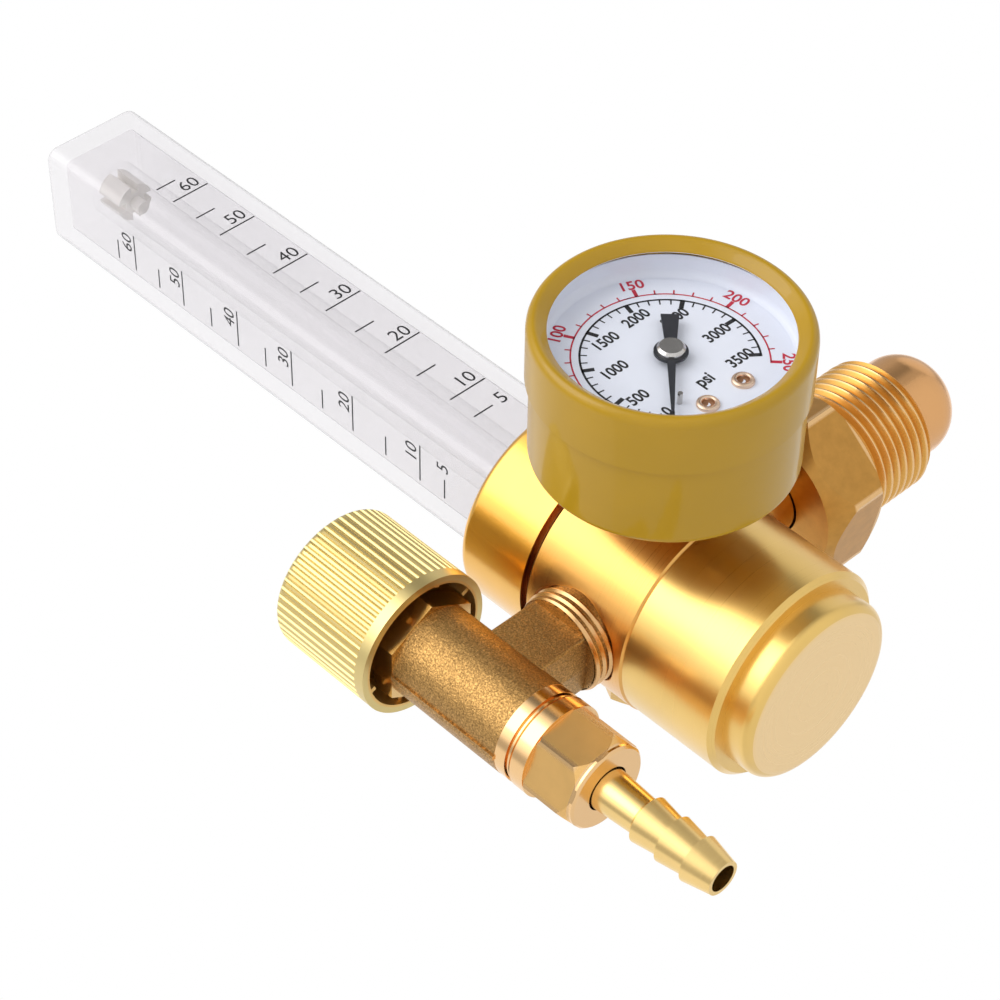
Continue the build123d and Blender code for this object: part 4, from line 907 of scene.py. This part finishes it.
def dial_eyelets():
    """The dial's two brass eyelets, each with a dark dish in its hole: painted shade."""
    turns = [2 * math.pi * step / EYELET_STEPS for step in range(EYELET_STEPS + 1)]
    rings, hole_shades = [], []
    for side in (-1, 1):
        x, y = polar(EYELET_RING_R, -90 + side * EYELET_SPREAD_DEG)
        x, y = x + EYELET_SHIFT[0], y + EYELET_SHIFT[1]
        for profile, kept in ((EYELET_PROFILE, rings), (HOLE_SHADE_PROFILE, hole_shades)):
            rows = [
                [(BODY_X + x + r * math.cos(t), -DIAL_FACE - height, y + r * math.sin(t)) for t in turns]
                for r, height in profile
            ]
            kept.append(swept(rows, closed=False))
    eyelets = add_mesh("dial_eyelets", *gather(rings), "fixed", MATS["eyelet"])
    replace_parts(eyelets, "dial_screws")
    add_mesh("dial_eyelet_hole_shades", *gather(hole_shades), "fixed", MATS["eyelet_hole_shade"])


# Lathe profiles about the gauge's axis: (radius, distance to the front of the body's axis)
BEZEL_PROFILE = [
    (22.3, 43.9), (22.3, 52.7), (22.24, 53.25), (22.08, 53.7), (21.8, 54.08), (21.45, 54.32),
    (21.05, 54.4), (20.65, 54.28), (20.2, 53.93), (19.3, 53.2), (19.08, 52.98), (19.0, 52.75),
    (21.25, 52.75), (21.25, 43.9),
]
GLASS_PROFILE = [(0.0, 51.3), (21.2, 51.3), (21.2, 52.7), (0.0, 52.7)]
COVE_PROFILE = [
    (19.2, 47.42), (19.6, 47.52), (19.95, 47.8), (20.2, 48.2), (20.3, 48.7), (20.42, 48.7), (20.42, 47.42),
]
GAUGE_STEPS = 192


def gauge_ring(name, profile, mat, smooth_angle=30.0):
    """A closed lathe shape about the gauge's axis."""
    turns = [2 * math.pi * step / GAUGE_STEPS for step in range(GAUGE_STEPS + 1)]
    rows = [[(BODY_X + r * math.cos(t), -front, r * math.sin(t)) for t in turns] for r, front in profile]
    return add_mesh(name, *swept(rows, closed=True), "fixed", mat, smooth_angle)


def gauge_front():
    """The rolled bezel, its glass and the white cove round the dial."""
    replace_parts(gauge_ring("gauge_bezel_rolled", BEZEL_PROFILE, MATS["mustard"], 40.0), "gauge_bezel")
    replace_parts(gauge_ring("gauge_glass", GLASS_PROFILE, MATS["window"]), "gauge_lens")
    gauge_ring("dial_cove", COVE_PROFILE, MATS["dial"], 40.0)


# The flow scale, in millimetres: level of each mark, before each face's stretch
FLOW_SCALE = {
    5: 39.8, 10: 45.8, 15: 54.3, 20: 62.6, 25: 70.4, 30: 78.3, 35: 85.3, 40: 92.7,
    45: 100.0, 50: 107.7, 55: 114.5, 60: 121.2, 65: 126.1,
}
TICK_LEFT = -2.8                # where every tick begins
TICK_LONG = 5.25                # where the numbered ticks end
TICK_SHORT = 1.5                # where the ticks between them end
TICK_W = 0.32
FLOW_NUMERAL = 2.8              # numerals' height
NUMERAL_X = 2.6                 # numerals' middle, toward the reader's right
NUMERAL_CLEAR = 0.7             # numerals' foot above their tick
FIVE_X = 3.9                    # the 5 stands beside its tick
FIVE_RISE = 0.4
SCALE_CENTRE = 62.0             # the level that the stretch leaves in place
SCALE_STRETCH = {"front": 0.977, "left": 1.02}


def scale_level(face, z):
    """Level of a mark on one face of the cover."""
    return SCALE_CENTRE + (z - SCALE_CENTRE) * SCALE_STRETCH[face]


def cover_matrix(face, along, z):
    """Places print on the cover's front or left face; along runs to the reader's right."""
    out = COVER_HALF + PRINT_LIFT
    upright = Matrix.Rotation(math.pi / 2, 4, "X")
    if face == "front":
        return Matrix.Translation(Vector((BODY_X + along, -out, z)) * MM) @ upright
    turn = Matrix.Rotation(-math.pi / 2, 4, "Z")
    return Matrix.Translation(Vector((BODY_X - out, -along, z)) * MM) @ turn @ upright


def cover_tick(face, z, right):
    """A tick on the cover as a thin slab."""
    points = [(TICK_LEFT, -TICK_W / 2), (right, -TICK_W / 2), (right, TICK_W / 2), (TICK_LEFT, TICK_W / 2)]
    matrix = cover_matrix(face, 0, z)
    vertices = []
    for depth in (0, INK_THICKNESS):
        for x, y in points:
            vertices.append(matrix @ (Vector((x, y, depth)) * MM) / MM)
    faces = [(0, 1, 2, 3), (7, 6, 5, 4), (0, 4, 5, 1), (1, 5, 6, 2), (2, 6, 7, 3), (3, 7, 4, 0)]
    return vertices, faces


def cover_print():
    """The flow scales on two faces of the cover."""
    for face in ("front", "left"):
        ticks = []
        for value, mark in FLOW_SCALE.items():
            z = scale_level(face, mark)
            ticks.append(cover_tick(face, z, TICK_LONG if value % 10 == 0 else TICK_SHORT))
            if value % 10 == 0:
                text_mesh(
                    f"flow_numeral_{face}_{value}", str(value), FLOW_NUMERAL, "fixed", MATS["black_ink"],
                    cover_matrix(face, NUMERAL_X, z + FLOW_NUMERAL / 2 + NUMERAL_CLEAR),
                )
        text_mesh(
            f"flow_numeral_{face}_5", "5", FLOW_NUMERAL, "fixed", MATS["black_ink"],
            cover_matrix(face, FIVE_X, scale_level(face, FLOW_SCALE[5]) + FIVE_RISE),
        )
        add_mesh(f"flow_ticks_{face}", *gather(ticks), "fixed", MATS["black_ink"])


# The world's lights: direction, dot product from and to, and strength from and to
TABLE = ((0, 1, 0), 0.10, 0.40, 0.0, 1.0)
SOFTBOX = ((-0.56, -0.65, 0.52), 0.66, 0.92, 0.55, 1.7)
SIDE_BOX = ((0.90, -0.25, 0.35), 0.84, 0.96, 0.0, 0.85)
DARK_STRIP = ((0.45, -0.72, 0.52), 0.914, 0.99, 1.0, 0.4)

# Floor and lamp, in metres and watts; the floor lies below the photograph's low camera
FLOOR_LEVEL = -0.28
FLOOR_SIZE = 9.0
KEY_AT = (-0.70, -0.80, 0.65)
KEY_AIM = Vector((BODY_X, 0, 30)) * MM
KEY_SIZE = 1.0
KEY_POWER = 4.2


def studio_world():
    """White to the camera and to transmission rays, and soft boxes for every other ray.

    Reflections see the white table on its own side only, which keeps the metal's dark bands."""
    world = bpy.data.worlds.new("studio")
    bpy.context.scene.world = world
    world.use_nodes = True
    nodes, links = world.node_tree.nodes, world.node_tree.links
    background = nodes["Background"]
    background.inputs["Color"].default_value = (1, 1, 1, 1)
    coordinates = nodes.new("ShaderNodeTexCoord")

    def toward(direction, *limits):
        dot = nodes.new("ShaderNodeVectorMath")
        dot.operation = "DOT_PRODUCT"
        links.new(coordinates.outputs["Generated"], dot.inputs[0])
        dot.inputs[1].default_value = Vector(direction).normalized()
        ramp = nodes.new("ShaderNodeMapRange")
        ramp.interpolation_type = "SMOOTHSTEP"
        for socket, value in zip(("From Min", "From Max", "To Min", "To Max"), limits):
            ramp.inputs[socket].default_value = value
        links.new(dot.outputs["Value"], ramp.inputs["Value"])
        return ramp.outputs[0]

    def combine(operation, a, b):
        node = nodes.new("ShaderNodeMath")
        node.operation = operation
        links.new(a, node.inputs[0])
        links.new(b, node.inputs[1])
        return node.outputs[0]

    light = combine("MAXIMUM", toward(*TABLE), toward(*SOFTBOX))
    light = combine("MULTIPLY", light, toward(*DARK_STRIP))
    light = combine("MAXIMUM", light, toward(*SIDE_BOX))
    rays = nodes.new("ShaderNodeLightPath")
    light = combine("MAXIMUM", light, rays.outputs["Is Camera Ray"])
    light = combine("MAXIMUM", light, rays.outputs["Is Transmission Ray"])
    links.new(light, background.inputs["Strength"])


def studio_floor():
    """A plain pale floor."""
    bm = bmesh.new()
    bmesh.ops.create_grid(bm, x_segments=8, y_segments=8, size=FLOOR_SIZE)
    mesh = bpy.data.meshes.new("studio_floor")
    bm.to_mesh(mesh)
    bm.free()
    mesh.materials.append(plain("studio_floor", (0.86, 0.86, 0.86), roughness=0.7, drift=0.99, bump=0.0))
    floor = bpy.data.objects.new("studio_floor", mesh)
    floor.location = (0, 0, FLOOR_LEVEL)
    collection().objects.link(floor)


def key_lamp():
    """One soft lamp from the front left, above."""
    data = bpy.data.lights.new("key", "AREA")
    data.shape = "DISK"
    data.size = KEY_SIZE
    data.energy = KEY_POWER
    lamp = bpy.data.objects.new("key", data)
    lamp.location = KEY_AT
    lamp.rotation_mode = "QUATERNION"
    lamp.rotation_quaternion = (KEY_AIM - Vector(KEY_AT)).to_track_quat("-Z", "Y")
    collection().objects.link(lamp)


def camera():
    """The photograph's view."""
    data = bpy.data.cameras.new("camera")
    data.sensor_width = SENSOR_MM
    data.lens = FOCAL_PX / IMAGE_PX * SENSOR_MM
    data.shift_x = (IMAGE_PX / 2 - CENTRE_PX[0]) / IMAGE_PX
    data.shift_y = (CENTRE_PX[1] - IMAGE_PX / 2) / IMAGE_PX
    data.clip_start, data.clip_end = 0.01, 20.0
    right = CAMERA_LOOK.cross(CAMERA_UP).normalized()
    up = right.cross(CAMERA_LOOK)
    turn = Matrix((right, up, -CAMERA_LOOK)).transposed().to_4x4()
    eye = bpy.data.objects.new("camera", data)
    eye.matrix_world = Matrix.Translation(CAMERA_AT) @ turn
    collection().objects.link(eye)
    bpy.context.scene.camera = eye


dress_nodes()
threaded_nut()
branch_thread()
shortening_springs()
dial_print()
dial_eyelets()
gauge_front()
cover_print()
studio_world()
studio_floor()
key_lamp()
camera()
bpy.context.scene.view_settings.view_transform = "Standard"
